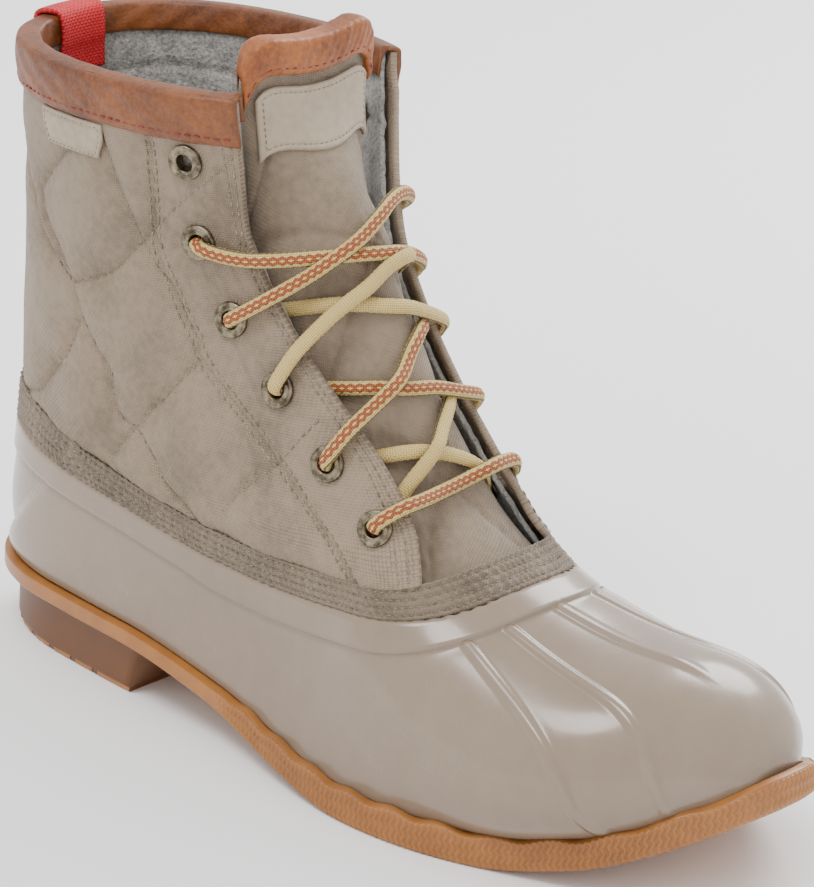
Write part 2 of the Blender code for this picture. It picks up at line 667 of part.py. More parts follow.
def shaft_path(q, w, side):
    """u and |a| on the shaft: q from the throat's edge (0) to the back (1), w from the band up."""
    collar = COLLARS[side][0]
    u0, a0 = BAND_EDGE.at(THROAT_SHARE + (1 - THROAT_SHARE) * q)
    u1, a1 = collar.at(q)
    ue, ae = throat_edge(w, side)
    uf0, af0 = BAND_EDGE.at(THROAT_SHARE)
    uf1, af1 = collar.at(0.0)
    pull = (1 - q) ** 3
    u = u0 + (u1 - u0) * w + pull * (ue - (uf0 + (uf1 - uf0) * w))
    a = a0 + (a1 - a0) * w + pull * (ae - (af0 + (af1 - af0) * w))
    return np.clip(u, 0, 1), np.clip(a, 0, 1)


def shaft_rows(heights, near, count, side):
    """u and |a| on rows at the given heights; near holds the first columns' distances from the throat."""
    q = np.linspace(0, 1, 500) ** 1.3
    out_u, out_a = [], []
    for w in heights:
        u, a = shaft_path(q, np.full(len(q), w), side)
        points = upper(u, a)
        run = np.concatenate([[0], np.cumsum(np.linalg.norm(np.diff(points, axis=0), axis=1))])
        wanted = np.concatenate([near, np.linspace(near[-1], run[-1], count + 1)[1:]])
        at = np.interp(wanted, run, q)
        u, a = shaft_path(at, np.full(len(at), w), side)
        out_u.append(u)
        out_a.append(a)
    return np.array(out_u), np.array(out_a)


STAY_COLUMNS = (0.0, STAY_WIDTH * 0.33, STAY_WIDTH * 0.67, STAY_WIDTH, STAY_WIDTH + 0.0006)


def shaft_side(side, heights, front):
    """One side of the shaft: u and |a| of its rows, the band first, with the columns across the front."""
    u, a = shaft_rows(heights, STAY_COLUMNS, 14, side)
    # Shares of the band's columns under the shaft's own, then the ones across the front under the tongue
    q = np.linspace(0, 1, 2000) ** 1.3
    dense = np.array(shaft_path(q, np.zeros(len(q)), side)).T
    place = [int(np.argmin((dense[:, 0] - x) ** 2 + (dense[:, 1] - y) ** 2)) for x, y in zip(u[0], a[0])]
    shares = THROAT_SHARE + (1 - THROAT_SHARE) * q[place]
    shares = np.concatenate([np.linspace(0, THROAT_SHARE, front + 1)[:-1], shares])
    band = []
    for k in (0.0, 0.5, 1.0):
        u0, a0 = TOP_EDGE.at(shares)
        u1, a1 = BAND_EDGE.at(shares)
        off = EDGE_GAP / 0.008 if k == 0 else 0
        band.append((u0 + (u1 - u0) * (k + off), a0 + (a1 - a0) * (k + off)))
    pad = np.zeros((len(heights) - 1, front))
    above = np.concatenate([pad + band[-1][0][:front], u[1:]], axis=1)
    grid_u = np.concatenate([[b[0] for b in band], above])
    above = np.concatenate([pad + band[-1][1][:front], a[1:]], axis=1)
    return grid_u, np.concatenate([[b[1] for b in band], above])


def make_shaft():
    heights = np.concatenate([np.linspace(0, 0.84, 12), [0.87, 0.93, 1.0]])
    front = 4
    lateral_u, lateral_a = shaft_side(-1, heights, front)
    medial_u, medial_a = shaft_side(1, heights, front)
    # A ring from the back along the lateral side, over the front and back along the medial side
    full_u = np.concatenate([lateral_u[:, :0:-1], medial_u[:, :-1]], axis=1)
    full_a = np.concatenate([-lateral_a[:, :0:-1], medial_a[:, :-1]], axis=1)
    outer = upper(full_u, full_a)
    # The normals come from the surface itself, because the columns stop at the throat
    n = surface_normals(full_u, full_a)
    rows, columns = outer.shape[:2]
    cells = np.ones((rows - 1, columns), bool)
    size = lateral_u.shape[1]
    middle = size - 1
    cells[2:, middle - front : middle + front] = False
    step = np.zeros((rows, columns))
    step[:2] = BAND_STEP
    stay = np.zeros(size)
    stay[front : front + 4] = STAY_STEP
    for i in range(3, rows - 3):
        step[i] = np.maximum(step[i], mirrored(stay))
    inner = outer - n * SHAFT_WALL
    outer = outer + n * step[..., None]
    shaft = walled("shaft", outer, inner, cells, True, MATERIALS["nylon"])
    for k in range(len(EYELETS)):
        for side, name in ((-1, "lateral"), (1, "medial")):
            point, out, _ = frame_at(*eyelet_place(k, side))
            bpy.ops.mesh.primitive_cylinder_add(
                vertices=16, radius=EYELET_BARREL / 2 + GAP + 0.0001, depth=0.016, location=point,
                rotation=Vector(out).to_track_quat("Z", "Y").to_euler(),
            )
            hole = bpy.context.object
            hole.name = f"hole_{name}_{k + 1}"
            boolean(shaft, hole, "DIFFERENCE")
    return shaft


def surface_normals(u, a):
    """Outward unit normals of the upper at u and a."""
    e = 1.5e-3
    u0, u1 = np.clip(u - e, 0, 1), np.clip(u + e, 0, 1)
    over = upper(u1, a) - upper(u0, a)
    mirror = np.abs(a) > 1 - 2 * e
    a_in = np.where(mirror, np.sign(a) * (1 - 2 * e), a)
    side = upper(u, a_in + e) - upper(u, a_in - e)
    n = np.cross(over, side)
    n /= np.linalg.norm(n, axis=-1, keepdims=True)
    centre = upper(u, 0.0) * 0.5 + upper(u, 1.0) * 0.5
    flip = ((upper(u, a) - centre) * n).sum(-1) < 0
    n = np.where(flip[..., None], -n, n)
    back = np.abs(a) > 1 - 1e-6
    n[..., 0] = np.where(back, 0, n[..., 0])
    return n / np.linalg.norm(n, axis=-1, keepdims=True)


def eyelet_place(k, side):
    """u and a of an eyelet; a medial one keeps its lateral twin's distance from the throat's edge."""
    s, z = EYELETS[k]
    z = z * COLLAR_HEIGHT
    low = float(upper(*BAND_EDGE.at(THROAT_SHARE))[2])
    w = (z - low) / (COLLARS[side][1] - low)
    if side > 0:
        s = s + float(throat_station(w, 1) - throat_station(w, -1))
    u, a = from_side(s, z)
    return float(u), side * float(a)


def make_eyelet(name, k, side):
    """A turned eyelet: rolled flange outside, barrel through the stay and washer inside."""
    point, out, _ = frame_at(*eyelet_place(k, side), STAY_STEP)
    hole, flange, barrel, washer = EYELET_HOLE / 2, EYELET_OUTER / 2, EYELET_BARREL / 2, EYELET_WASHER / 2
    deep = SHAFT_WALL + STAY_STEP + EYELET_CLEAR + WASHER_CLEAR
    profile = [
        (hole, EYELET_LIP), (flange - 0.0009, EYELET_LIP), (flange, 0.0002),
        (barrel, 0.0), (barrel, -deep), (washer, -deep), (washer, -deep - 0.0006), (hole, -deep - 0.0006),
    ]
    mesh = bpy.data.meshes.new(name)
    edges = [(i, (i + 1) % len(profile)) for i in range(len(profile))]
    mesh.from_pydata([(r, 0, h) for r, h in profile], edges, [])
    obj = bpy.data.objects.new(name, mesh)
    turn = obj.modifiers.new("Screw", "SCREW")
    turn.steps = turn.render_steps = 12
    turn.use_merge_vertices = True
    turn.merge_threshold = 1e-5
    turn.use_normal_calculate = True
    move_to(obj, MATERIALS["antique_brass"], PART)
    obj.location = Vector(point + out * EYELET_CLEAR)
    obj.rotation_euler = Vector(out).to_track_quat("Z", "Y").to_euler()
    return obj


TONGUE_LOW = 0.362  # u of the tongue's lower end, under the band
TONGUE_DEPTH = 0.0078  # tongue's face under the upper's outside, clear of the eyelets' washers
TONGUE_FOOT_DEPTH = 0.0046  # the same at its lower end, against the band's inside
TONGUE_TOP_Y = 0.0385  # the top leans back to here and lies nearly flat
TONGUE_CROWN = 0.0030  # how far the flat top still bulges forward
# Half width of the tongue: u, |a| on the lateral and on the medial side
TONGUE_WIDE = (
    (0.36, 0.30, 0.30), (0.50, 0.33, 0.31), (0.65, 0.37, 0.33), (0.80, 0.37, 0.32), (1.00, 0.33, 0.28),
)
TONGUE_CORNER = 0.060  # how much lower the corners end, in u
HEM_COLUMNS = np.linspace(-0.94, 0.94, 17)  # columns of the tongue that its binding follows


def tongue_face(c, r):
    """Point of the tongue's face: c across (-1 lateral, 1 medial), r from its lower end to its top."""
    c, r = np.broadcast_arrays(np.asarray(c, float), np.asarray(r, float))
    rise = spline(SECTIONS, 4, 1.0) - spline(SECTIONS, 4, 0.97)
    top = 1 + TONGUE_ABOVE / COLLAR_HEIGHT / (rise / 0.03) - TONGUE_CORNER * np.abs(c) ** 5
    u = TONGUE_LOW + (top - TONGUE_LOW) * r
    wide = np.clip(u, 0.36, 1)
    a = c * np.where(c < 0, steady(TONGUE_WIDE, 1, wide), steady(TONGUE_WIDE, 2, wide))
    n = surface_normals(np.minimum(u, 0.995), a)
    beyond = (upper(1.0, a) - upper(0.97, a)) / 0.03
    point = upper(np.minimum(u, 1), a) + beyond * np.maximum(u - 1, 0)[..., None]
    depth = TONGUE_FOOT_DEPTH + (TONGUE_DEPTH - TONGUE_FOOT_DEPTH) * smooth((u - TONGUE_LOW) / 0.09)
    point = point - n * depth[..., None]
    flat = smooth((u - 0.74) / 0.28)
    lean = TONGUE_TOP_Y - TONGUE_CROWN * (1 - c * c) - point[..., 1]
    point[..., 1] += (lean + np.hypot(lean, 0.005)) / 2 * flat
    return point


def tongue_place(c, r):
    """Point and normal of the tongue's face."""
    c, r = np.broadcast_arrays(np.asarray(c, float), np.asarray(r, float))
    step = 2e-3
    across = tongue_face(c + step, r) - tongue_face(c - step, r)
    up = tongue_face(c, r + step) - tongue_face(c, r - step)
    n = np.cross(across, up)
    n /= np.linalg.norm(n, axis=-1, keepdims=True)
    return tongue_face(c, r), n


def make_tongue():
    rows = [*np.linspace(0, 0.72, 9), 0.77, 0.81, 0.85, 0.89, 0.93, 0.97, 1.0]
    c, r = np.meshgrid(np.concatenate([[-1], HEM_COLUMNS, [1]]), rows)
    face, n = tongue_place(c, r)
    under = face - n * TONGUE_WALL
    cells = np.ones((c.shape[0] - 1, c.shape[1] - 1), bool)
    return walled("tongue", face, under, cells, False, MATERIALS["nylon"])


def hem(name, columns, at, wall, outside, inside, clear):
    """Binding folded over an edge; at(column, depth) gives the face's point, normal and the way up."""
    o, w = clear, BINDING_WALL
    back = -(wall + o)
    over = o + w
    profile = [
        (outside, over), (outside / 2, over), (0, over), (-0.8 * over, o + 0.6 * w), (-over, -wall / 2),
        (-0.8 * over, back - 0.6 * w), (0, back - w), (inside, back - w), (inside, back), (-o, back), (-o, o),
        (outside / 2, o), (outside, o),
    ]
    loops = []
    for column in columns:
        loop = []
        for d, off in profile:
            point, n, up = at(column, max(d, 0))
            loop.append(point + n * off + up * max(-d, 0))
        loops.append(loop)
    return tube(name, loops, MATERIALS["tan_leather"])


def collar_at(column, depth):
    """Outer face of the shaft at a signed share of the collar, depth under its edge."""
    collar = COLLARS[-1 if column < 0 else 1][0]
    a = math.copysign(float(collar.at(abs(column))[1]), column)
    reach = float(np.linalg.norm(upper(1.0, a) - upper(0.93, a))) / 0.07
    u = 1 - depth / reach
    n = surface_normals(np.array([min(u, 0.998)]), np.array([a]))[0]
    up = upper(1.0, a) - upper(0.98, a)
    return upper(u, a), n, up / np.linalg.norm(up)


def tongue_at(column, depth):
    """Face of the tongue at a column, depth under its top edge."""
    rise = tongue_place(column, 1.0)[0] - tongue_place(column, 0.9)[0]
    length = float(np.linalg.norm(rise))
    point, n = tongue_place(column, 1 - depth / (length / 0.1))
    return point, n, rise / length


def back_at(x, depth):
    """Outer face near the back seam: x across from the seam, depth down from the collar."""
    u = float(np.interp(depth, BACK_RUN, BACK_U))
    half = float(section(u)[5])
    a = A_WIDEST + (1 - A_WIDEST) * math.acos(min(abs(x) / half, 1) ** (ROUND_BASE / 2)) / (math.pi / 2)
    a = math.copysign(min(a, 1.0), x)
    point = upper(u, a)
    n = surface_normals(np.array([min(u, 0.998)]), np.array([a]))[0]
    return point, n


BACK_U = np.linspace(1.0, U_HEEL + 0.002, 400)
BACK = upper(BACK_U, 1.0)
BACK_RUN = np.concatenate([[0], np.cumsum(np.linalg.norm(np.diff(BACK, axis=0), axis=1))])
BACK_UP = (BACK[0] - BACK[20]) / np.linalg.norm(BACK[0] - BACK[20])


def make_strap():
    """Red webbing over the collar at the back and down the seam, its lower end folded."""
    o = BINDING_CLEAR
    w = BINDING_WALL
    back = -(SHAFT_WALL + o)
    end = float(np.interp(BAND_EDGE.u[-1], BACK_U[::-1], BACK_RUN[::-1]))

    def over_binding(c, late):
        return [
            (STRAP_INSIDE, -(SHAFT_WALL + c)), (BINDING_INSIDE + 0.0018 + late, -(SHAFT_WALL + c)),
            (BINDING_INSIDE + 0.0003 + late, back - w - c), (0, back - w - c),
            (-0.8 * (o + w) - 0.9 * c, back - 0.6 * w - 0.9 * c), (-(o + w) - c, -SHAFT_WALL / 2),
            (-0.8 * (o + w) - 0.9 * c, o + 0.6 * w + 0.9 * c), (0, o + w + c),
            (BINDING_OUTSIDE + 0.0004 + late, o + w + c), (BINDING_OUTSIDE + 0.0030 + late, c),
        ]

    c = STRAP_CLEAR
    near = over_binding(c, 0)
    far = over_binding(c + STRAP_WALL, 0.0006)
    for d in np.linspace(0.030, end - 0.0075, 7):
        near.append((float(d), c))
        far.append((float(d), c + STRAP_WALL))
    for d, thick in ((end - 0.0068, 2.6), (end - 0.003, 3.0), (end - 0.0005, 2.6)):
        near.append((float(d), c))
        far.append((float(d), c + STRAP_WALL * thick))
    across = np.linspace(-STRAP_WIDTH / 2, STRAP_WIDTH / 2, 5)
    grids = []
    for pairs in (far, near):
        grid = []
        for d, off in pairs:
            row = []
            for x in across:
                point, n = back_at(float(x), max(d, 0.0))
                row.append(point + n * off + BACK_UP * max(-d, 0))
            grid.append(row)
        grids.append(np.array(grid))
    cells = np.ones((len(near) - 1, len(across) - 1), bool)
    return walled("pull_strap", grids[0], grids[1], cells, False, MATERIALS["red_webbing"])


def make_patch():
    """Small plain patch moulded on the shell's back."""
    top = float(np.interp(TOP_EDGE.u[-1], BACK_U[::-1], BACK_RUN[::-1])) + RIM_BAND + 0.003
    across = np.linspace(-PATCH_WIDTH / 2, PATCH_WIDTH / 2, 5)
    grids = []
    for off in (GAP + PATCH_WALL, GAP):
        grid = []
        for d in np.linspace(top, top + PATCH_HEIGHT, 6):
            row = []
            for x in across:
                point, n = back_at(float(x), float(min(d, BACK_RUN[-1])))
                row.append(point + n * off)
            grid.append(row)
        grids.append(np.array(grid))
    cells = np.ones((5, 4), bool)
    return walled("heel_patch", grids[0], grids[1], cells, False, MATERIALS["shell_rubber"])


TONGUE_LABEL = (0.044, 0.0165, 0.0135)  # width, height, top edge under the tongue's top
COLLAR_LABEL = (0.028, 0.0105, 0.66)  # width, height, |a| of its middle


def make_tongue_label():
    width, height, under = TONGUE_LABEL
    half = float(np.linalg.norm(tongue_at(0.8, under)[0] - tongue_at(-0.8, under)[0])) / 1.6
    across = np.linspace(-width / 2, width / 2, 9) / half
    grids = []
    for off in (3 * GAP + LABEL_WALL, 3 * GAP):
        grid = []
        for d in np.linspace(under, under + height, 5):
            row = []
            for c in across:
                point, n, _ = tongue_at(float(c), float(d))
                row.append(point + n * off)
            grid.append(row)
        grids.append(np.array(grid))
    return walled("tongue_label", grids[0], grids[1], np.ones((4, 8), bool), False, MATERIALS["label_cloth"])


def make_collar_label():
    width, height, middle = COLLAR_LABEL
    collar = COLLARS[-1][0]
    centre = float(np.interp(middle, collar.a, collar.share))
    grids = []
    for off in (GAP + LABEL_WALL, GAP):
        grid = []
        for k in range(4):
            d = BINDING_OUTSIDE + 0.0004 + height * k / 3
            narrow = 1.0 if k < 2 else 1.0 - 0.16 * (k - 1)
            row = []
            for x in np.linspace(-0.5, 0.5, 6) * width * narrow:
                point, n, _ = collar_at(-(centre + x / collar.length), d)
                row.append(point + n * off)
            grid.append(row)
        grids.append(np.array(grid))
    return walled("collar_label", grids[0], grids[1], np.ones((3, 5), bool), False, MATERIALS["label_cloth"])


# Strands across the throat, from the lateral to the medial side: a at both ends, whether it runs over the
# stay there, and u at five even steps
STRANDS = (
    (-0.309, 0.326, True, True, (0.476, 0.455, 0.448, 0.465, 0.485)),
    (-0.200, 0.160, False, False, (0.516, 0.496, 0.480, 0.468, 0.464)),
    (-0.240, 0.360, False, True, (0.602, 0.560, 0.546, 0.549, 0.568)),
    (-0.240, 0.363, False, True, (0.712, 0.663, 0.645, 0.644, 0.653)),
    (-0.379, 0.358, True, True, (0.768, 0.759, 0.790, 0.830, 0.843)),
    (-0.200, 0.160, False, False, (0.478, 0.480, 0.496, 0.520, 0.545)),
    (-0.352, 0.180, True, False, (0.563, 0.568, 0.577, 0.610, 0.636)),
    (-0.371, 0.160, True, False, (0.660, 0.688, 0.697, 0.713, 0.725)),
    (-0.438, 0.340, True, True, (0.873, 0.788, 0.732, 0.726, 0.733)),
)


def half_throat(u, side):
    """|a| of the throat's edge at u."""
    eu, ea = throat_edge(np.linspace(0, 1, 200), side)
    order = np.argsort(eu)
    return float(np.interp(u, eu[order], ea[order]))


def strand_line(row):
    """Centre line of a strand: on the tongue, and raised over the stays that it crosses."""
    a0, a1, over_lateral, over_medial, heights = row
    rows = tuple((k / 4, h) for k, h in enumerate(heights))
    low = LACE / 2 + 0.0009 - TONGUE_DEPTH
    high = STAY_STEP + EYELET_CLEAR + EYELET_LIP + LACE / 2 + GAP
    points = []
    for t in np.linspace(0, 1, 17):
        a = a0 + (a1 - a0) * t
        u = float(spline(rows, 1, t))
        side = -1 if a < 0 else 1
        over = over_lateral if a < 0 else over_medial
        f = min(abs(a) / half_throat(u, side), 1.0)
        lift = low + (high - low) * f**2.2 if over else low
        n = surface_normals(np.array([u]), np.array([a]))[0]
        points.append(upper(u, a) + n * lift)
    return np.array(points)


def make_strand(k):
    """Round cord along a strand's line."""
    points = strand_line(STRANDS[k])
    ahead = np.gradient(points, axis=0)
    ahead /= np.linalg.norm(ahead, axis=1, keepdims=True)
    loops = []
    for p, t in zip(points, ahead):
        side = np.cross(t, [0, 0.35, 1.0])
        side /= np.linalg.norm(side)
        up = np.cross(side, t)
        ring = [2 * math.pi * i / 6 for i in range(6)]
        loops.append([p + (side * math.cos(v) + up * math.sin(v)) * LACE / 2 for v in ring])
    return tube(f"strand_{k + 1}", loops, MATERIALS["lace_cord"])


def make_lace():
    """The strands, which cross each other, joined as one solid."""
    lace = make_strand(0)
    lace.name = "lace"
    for k in (1, 5, 2, 6, 3, 7, 4, 8):
        boolean(lace, make_strand(k), "UNION")


for old in list(bpy.data.objects):
    bpy.data.objects.remove(old, do_unlink=True)

PART = bpy.data.collections.new("duck_boot")
TOOLS = bpy.data.collections.new("cutters")
bpy.context.scene.collection.children.link(PART)
bpy.context.scene.collection.children.link(TOOLS)
MATERIALS = {
    "gum_rubber": material("gum_rubber", 0.45),
    "shell_rubber": material("shell_rubber", 0.25),
    "nylon": material("nylon", 0.75),
    "tan_leather": material("tan_leather", 0.5),
    "red_webbing": material("red_webbing", 0.7),
    "label_cloth": material("label_cloth", 0.7),
    "fleece": material("fleece", 0.95),
    "antique_brass": material("antique_brass", 0.4, 1.0),
    "lace_cord": material("lace_cord", 0.7),
}

make_outsole()
make_insole()
make_shell()
make_shaft()
make_tongue()
shares = np.linspace(0, 1, 18)
around = [-c for c in shares] + [c for c in shares[-2::-1]]
hem("collar_binding", around, collar_at, SHAFT_WALL, BINDING_OUTSIDE, BINDING_INSIDE, BINDING_CLEAR)
hem("tongue_binding", HEM_COLUMNS, tongue_at, TONGUE_WALL, 0.0075, 0.0060, 3.4 * BINDING_CLEAR)
make_strap()
make_patch()
make_tongue_label()
make_collar_label()
for number in range(len(EYELETS)):
    make_eyelet(f"eyelet_lateral_{number + 1}", number, -1)
    make_eyelet(f"eyelet_medial_{number + 1}", number, 1)
make_lace()
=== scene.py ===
# %% [markdown]
# # A right duck boot
# This lesson dresses a finished CAD model of a duck boot: rubber shell and gum sole below, quilted nylon,
# leather binding and a round lace above. The CAD model gives the sizes. Padding, seams, stitches, braid and
# finishes are added here. We load it first and note its box, because the dressed boot has to keep that size.

# %% Load the frame
import math

import bmesh
import bpy
import numpy as np
from mathutils import Matrix, Vector


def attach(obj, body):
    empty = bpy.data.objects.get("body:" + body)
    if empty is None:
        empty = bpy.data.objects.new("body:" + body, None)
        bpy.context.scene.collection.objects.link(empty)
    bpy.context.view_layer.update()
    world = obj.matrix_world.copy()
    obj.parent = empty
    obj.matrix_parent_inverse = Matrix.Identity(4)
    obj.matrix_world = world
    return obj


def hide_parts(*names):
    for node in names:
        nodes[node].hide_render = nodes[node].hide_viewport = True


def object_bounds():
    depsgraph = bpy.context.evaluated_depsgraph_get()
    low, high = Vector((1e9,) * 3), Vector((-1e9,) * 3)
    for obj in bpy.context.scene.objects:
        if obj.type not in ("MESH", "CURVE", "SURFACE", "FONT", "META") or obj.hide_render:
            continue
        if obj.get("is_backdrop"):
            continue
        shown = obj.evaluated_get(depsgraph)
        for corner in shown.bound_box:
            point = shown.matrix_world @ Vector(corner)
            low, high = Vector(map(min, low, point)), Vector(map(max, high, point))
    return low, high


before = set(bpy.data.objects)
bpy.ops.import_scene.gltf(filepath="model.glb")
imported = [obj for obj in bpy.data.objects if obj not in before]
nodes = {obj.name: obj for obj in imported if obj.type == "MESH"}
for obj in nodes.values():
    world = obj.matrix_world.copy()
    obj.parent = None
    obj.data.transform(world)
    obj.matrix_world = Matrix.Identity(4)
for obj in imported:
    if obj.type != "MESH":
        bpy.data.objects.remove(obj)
cad_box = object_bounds()
print("CAD box", [[round(c, 4) for c in corner] for corner in cad_box])

# %% [markdown]
# ## Camera
# The photograph was taken with a long lens, a little above the boot, from its outer side. Angle, distance
# and focal length were worked out from the outline of the sole and the shell. The sensor's shift puts the
# boot where it is in the picture, and a small roll levels it as the photographer did.

# %% Camera
PHOTO_WIDTH, PHOTO_HEIGHT = 814, 887
AZIMUTH, ELEVATION, ROLL = (math.radians(v) for v in (-48.57, 21.80, 3.01))
DISTANCE = 1.3368
FOCAL_PIXELS = 4738.3
CENTRE_X, CENTRE_Y = 390.4, 445.8  # where the lens axis meets the picture, in pixels
TARGET = Vector((0, 0, 0.090))


def make_camera():
    level = math.cos(ELEVATION)
    back = Vector((math.sin(AZIMUTH) * level, -math.cos(AZIMUTH) * level, math.sin(ELEVATION)))
    right = (-back).cross(Vector((0, 0, 1))).normalized()
    up = right.cross(-back)
    turned_right = right * math.cos(ROLL) + up * math.sin(ROLL)
    turned_up = up * math.cos(ROLL) - right * math.sin(ROLL)
    data = bpy.data.cameras.new("camera")
    camera = bpy.data.objects.new("camera", data)
    bpy.context.scene.collection.objects.link(camera)
    place = Matrix((turned_right, turned_up, back)).transposed().to_4x4()
    place.translation = TARGET + back * DISTANCE
    camera.matrix_world = place
    data.sensor_width = 36.0
    data.lens = FOCAL_PIXELS / PHOTO_HEIGHT * data.sensor_width
    data.shift_x = (PHOTO_WIDTH / 2 - CENTRE_X) / PHOTO_HEIGHT
    data.shift_y = (CENTRE_Y - PHOTO_HEIGHT / 2) / PHOTO_HEIGHT
    data.clip_start, data.clip_end = 0.1, 20
    bpy.context.scene.camera = camera
    return back, turned_right


BACK, RIGHT = make_camera()
print("camera", round(bpy.context.scene.camera.data.lens, 1), "mm lens")

# %% [markdown]
# ## Floor and light
# A product photograph has a white table and large soft lamps. A plain floor marked as stage, a white world
# and two round area lamps do the same: the main one high in front, towards the heel, and a weaker one from
# behind that draws a bright line along the edges.

# %% Floor and light
FLOOR_TONE, FLOOR_ROUGHNESS = 0.97, 0.7
WORLD_STRENGTH = 1.35
KEY_POWER, KEY_SIZE = 16.0, 0.7
RIM_POWER, RIM_SIZE = 9.0, 0.6


def make_floor():
    shape = bmesh.new()
    bmesh.ops.create_grid(shape, x_segments=1, y_segments=1, size=4.0)
    mesh = bpy.data.meshes.new("floor")
    shape.to_mesh(mesh)
    shape.free()
    floor = bpy.data.objects.new("floor", mesh)
    bpy.context.scene.collection.objects.link(floor)
    paint = bpy.data.materials.new("pale_floor")
    paint.use_nodes = True
    shader = paint.node_tree.nodes["Principled BSDF"]
    shader.inputs["Base Color"].default_value = (FLOOR_TONE, FLOOR_TONE, FLOOR_TONE, 1)
    shader.inputs["Roughness"].default_value = FLOOR_ROUGHNESS
    mesh.materials.append(paint)
    floor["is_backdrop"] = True


def make_lamp(name, place, size, power):
    data = bpy.data.lights.new(name, "AREA")
    data.shape = "DISK"
    data.size = size
    data.energy = power
    lamp = bpy.data.objects.new(name, data)
    bpy.context.scene.collection.objects.link(lamp)
    lamp.location = place
    lamp.rotation_euler = (Vector(place) - TARGET).to_track_quat("Z", "Y").to_euler()


make_floor()
world = bpy.data.worlds.new("studio")
bpy.context.scene.world = world
world.use_nodes = True
world.node_tree.nodes["Background"].inputs["Color"].default_value = (1, 1, 1, 1)
world.node_tree.nodes["Background"].inputs["Strength"].default_value = WORLD_STRENGTH
make_lamp("key", TARGET + BACK * 0.5 - RIGHT * 0.55 + Vector((0, 0, 1.3)), KEY_SIZE, KEY_POWER)
make_lamp("rim", TARGET - BACK * 0.8 + RIGHT * 0.5 + Vector((0, 0, 0.9)), RIM_SIZE, RIM_POWER)
print("stage ready")

# %% [markdown]
# ## The boot's own form
# A last is drawn as sections: a fan of curves from the toe's tip to the collar. The CAD model is made from
# the same short tables, so a point at fan position u and height a lies on its surface. Every piece below is
# placed with these functions, a hair over or under that surface.

# %% Sizes and tables
SOLE_LENGTH, SOLE_WIDTH = 0.285, 0.101
COLLAR_HEIGHT, SHELL_HEIGHT = 0.184, 0.060
BALL_SOLE, HEEL_RISE, TOE_SPRING = 0.0085, 0.014, 0.026
HEEL_ROUND, TOE_ROUND, TOE_TOP_ROUND = 0.13, 0.20, 0.13
HEEL_POWER, TOE_POWER, TOE_TOP_POWER = 2.2, 2.3, 2.5  # how square the rounded ends are
RIM_INSET = 0.0034  # shell's lower line inside the sole's edge
GAP = 0.0003
SHELL_WALL, SHAFT_WALL, TONGUE_WALL = 0.0025, 0.0040, 0.0040
RIM_BAND = 0.0105  # rolled band under the shell's edge
# Sole outline: station from the heel, middle, half width (shares of SOLE_WIDTH)
SOLE_ROWS = (
    (0.00, 0.000, 0.290), (0.12, -0.012, 0.318), (0.28, -0.040, 0.336), (0.42, -0.050, 0.348),
    (0.55, -0.048, 0.420), (0.65, -0.020, 0.466), (0.73, 0.016, 0.466), (0.82, 0.062, 0.428),
    (0.91, 0.078, 0.392), (1.00, 0.092, 0.334),
)
# Seat of the upper: station, share of HEEL_RISE, share of TOE_SPRING
LEVELS = (
    (0.00, 1.00, 0.00), (0.25, 0.97, 0.00), (0.40, 0.58, 0.00), (0.52, 0.18, 0.00), (0.62, 0.00, 0.00),
    (0.76, 0.00, 0.00), (0.86, 0.00, 0.22), (0.93, 0.00, 0.55), (1.00, 0.00, 1.00),
)
# Sole's thickness: station, share of BALL_SOLE
PLATE = ((0.00, 0.58), (0.28, 0.58), (0.40, 0.66), (0.52, 0.88), (0.60, 1.00), (0.80, 1.00), (1.00, 0.92))
# Sections: u, base station, climb up the back, top station, top height, middle, half width, widest point
SECTIONS = (
    (0.00, 0.984, 0.00, 0.984, 0.284, 0.078, 0.330, 0.35),
    (0.05, 0.976, 0.00, 0.976, 0.289, 0.080, 0.346, 0.35),
    (0.10, 0.950, 0.00, 0.950, 0.302, 0.076, 0.375, 0.33),
    (0.16, 0.900, 0.00, 0.898, 0.316, 0.047, 0.410, 0.31),
    (0.23, 0.830, 0.00, 0.828, 0.320, 0.013, 0.440, 0.29),
    (0.31, 0.740, 0.00, 0.733, 0.345, -0.015, 0.448, 0.28),
    (0.39, 0.640, 0.00, 0.650, 0.408, -0.028, 0.418, 0.28),
    (0.46, 0.540, 0.00, 0.606, 0.508, -0.028, 0.376, 0.30),
    (0.53, 0.430, 0.00, 0.572, 0.600, -0.025, 0.343, 0.33),
    (0.60, 0.310, 0.00, 0.544, 0.683, -0.025, 0.328, 0.38),
    (0.67, 0.170, 0.00, 0.521, 0.758, -0.025, 0.321, 0.42),
    (0.73, 0.050, 0.00, 0.505, 0.816, -0.023, 0.325, 0.44),
    (0.76, 0.010, 0.00, 0.497, 0.841, -0.020, 0.331, 0.45),
    (0.80, 0.010, 0.14, 0.486, 0.869, -0.014, 0.336, 0.46),
    (0.86, 0.024, 0.36, 0.472, 0.912, -0.003, 0.352, 0.48),
    (0.93, 0.034, 0.66, 0.463, 0.966, 0.008, 0.384, 0.49),
    (1.00, 0.018, 1.00, 0.458, 1.033, 0.016, 0.428, 0.50),
)
HEEL_ROW = 12  # the section that stands on the heel's end
TIP, U_HEEL, A_WIDEST = SECTIONS[0][1], SECTIONS[HEEL_ROW][0], 0.6
ROUND_TOP, ROUND_BASE = 2.15, 2.3
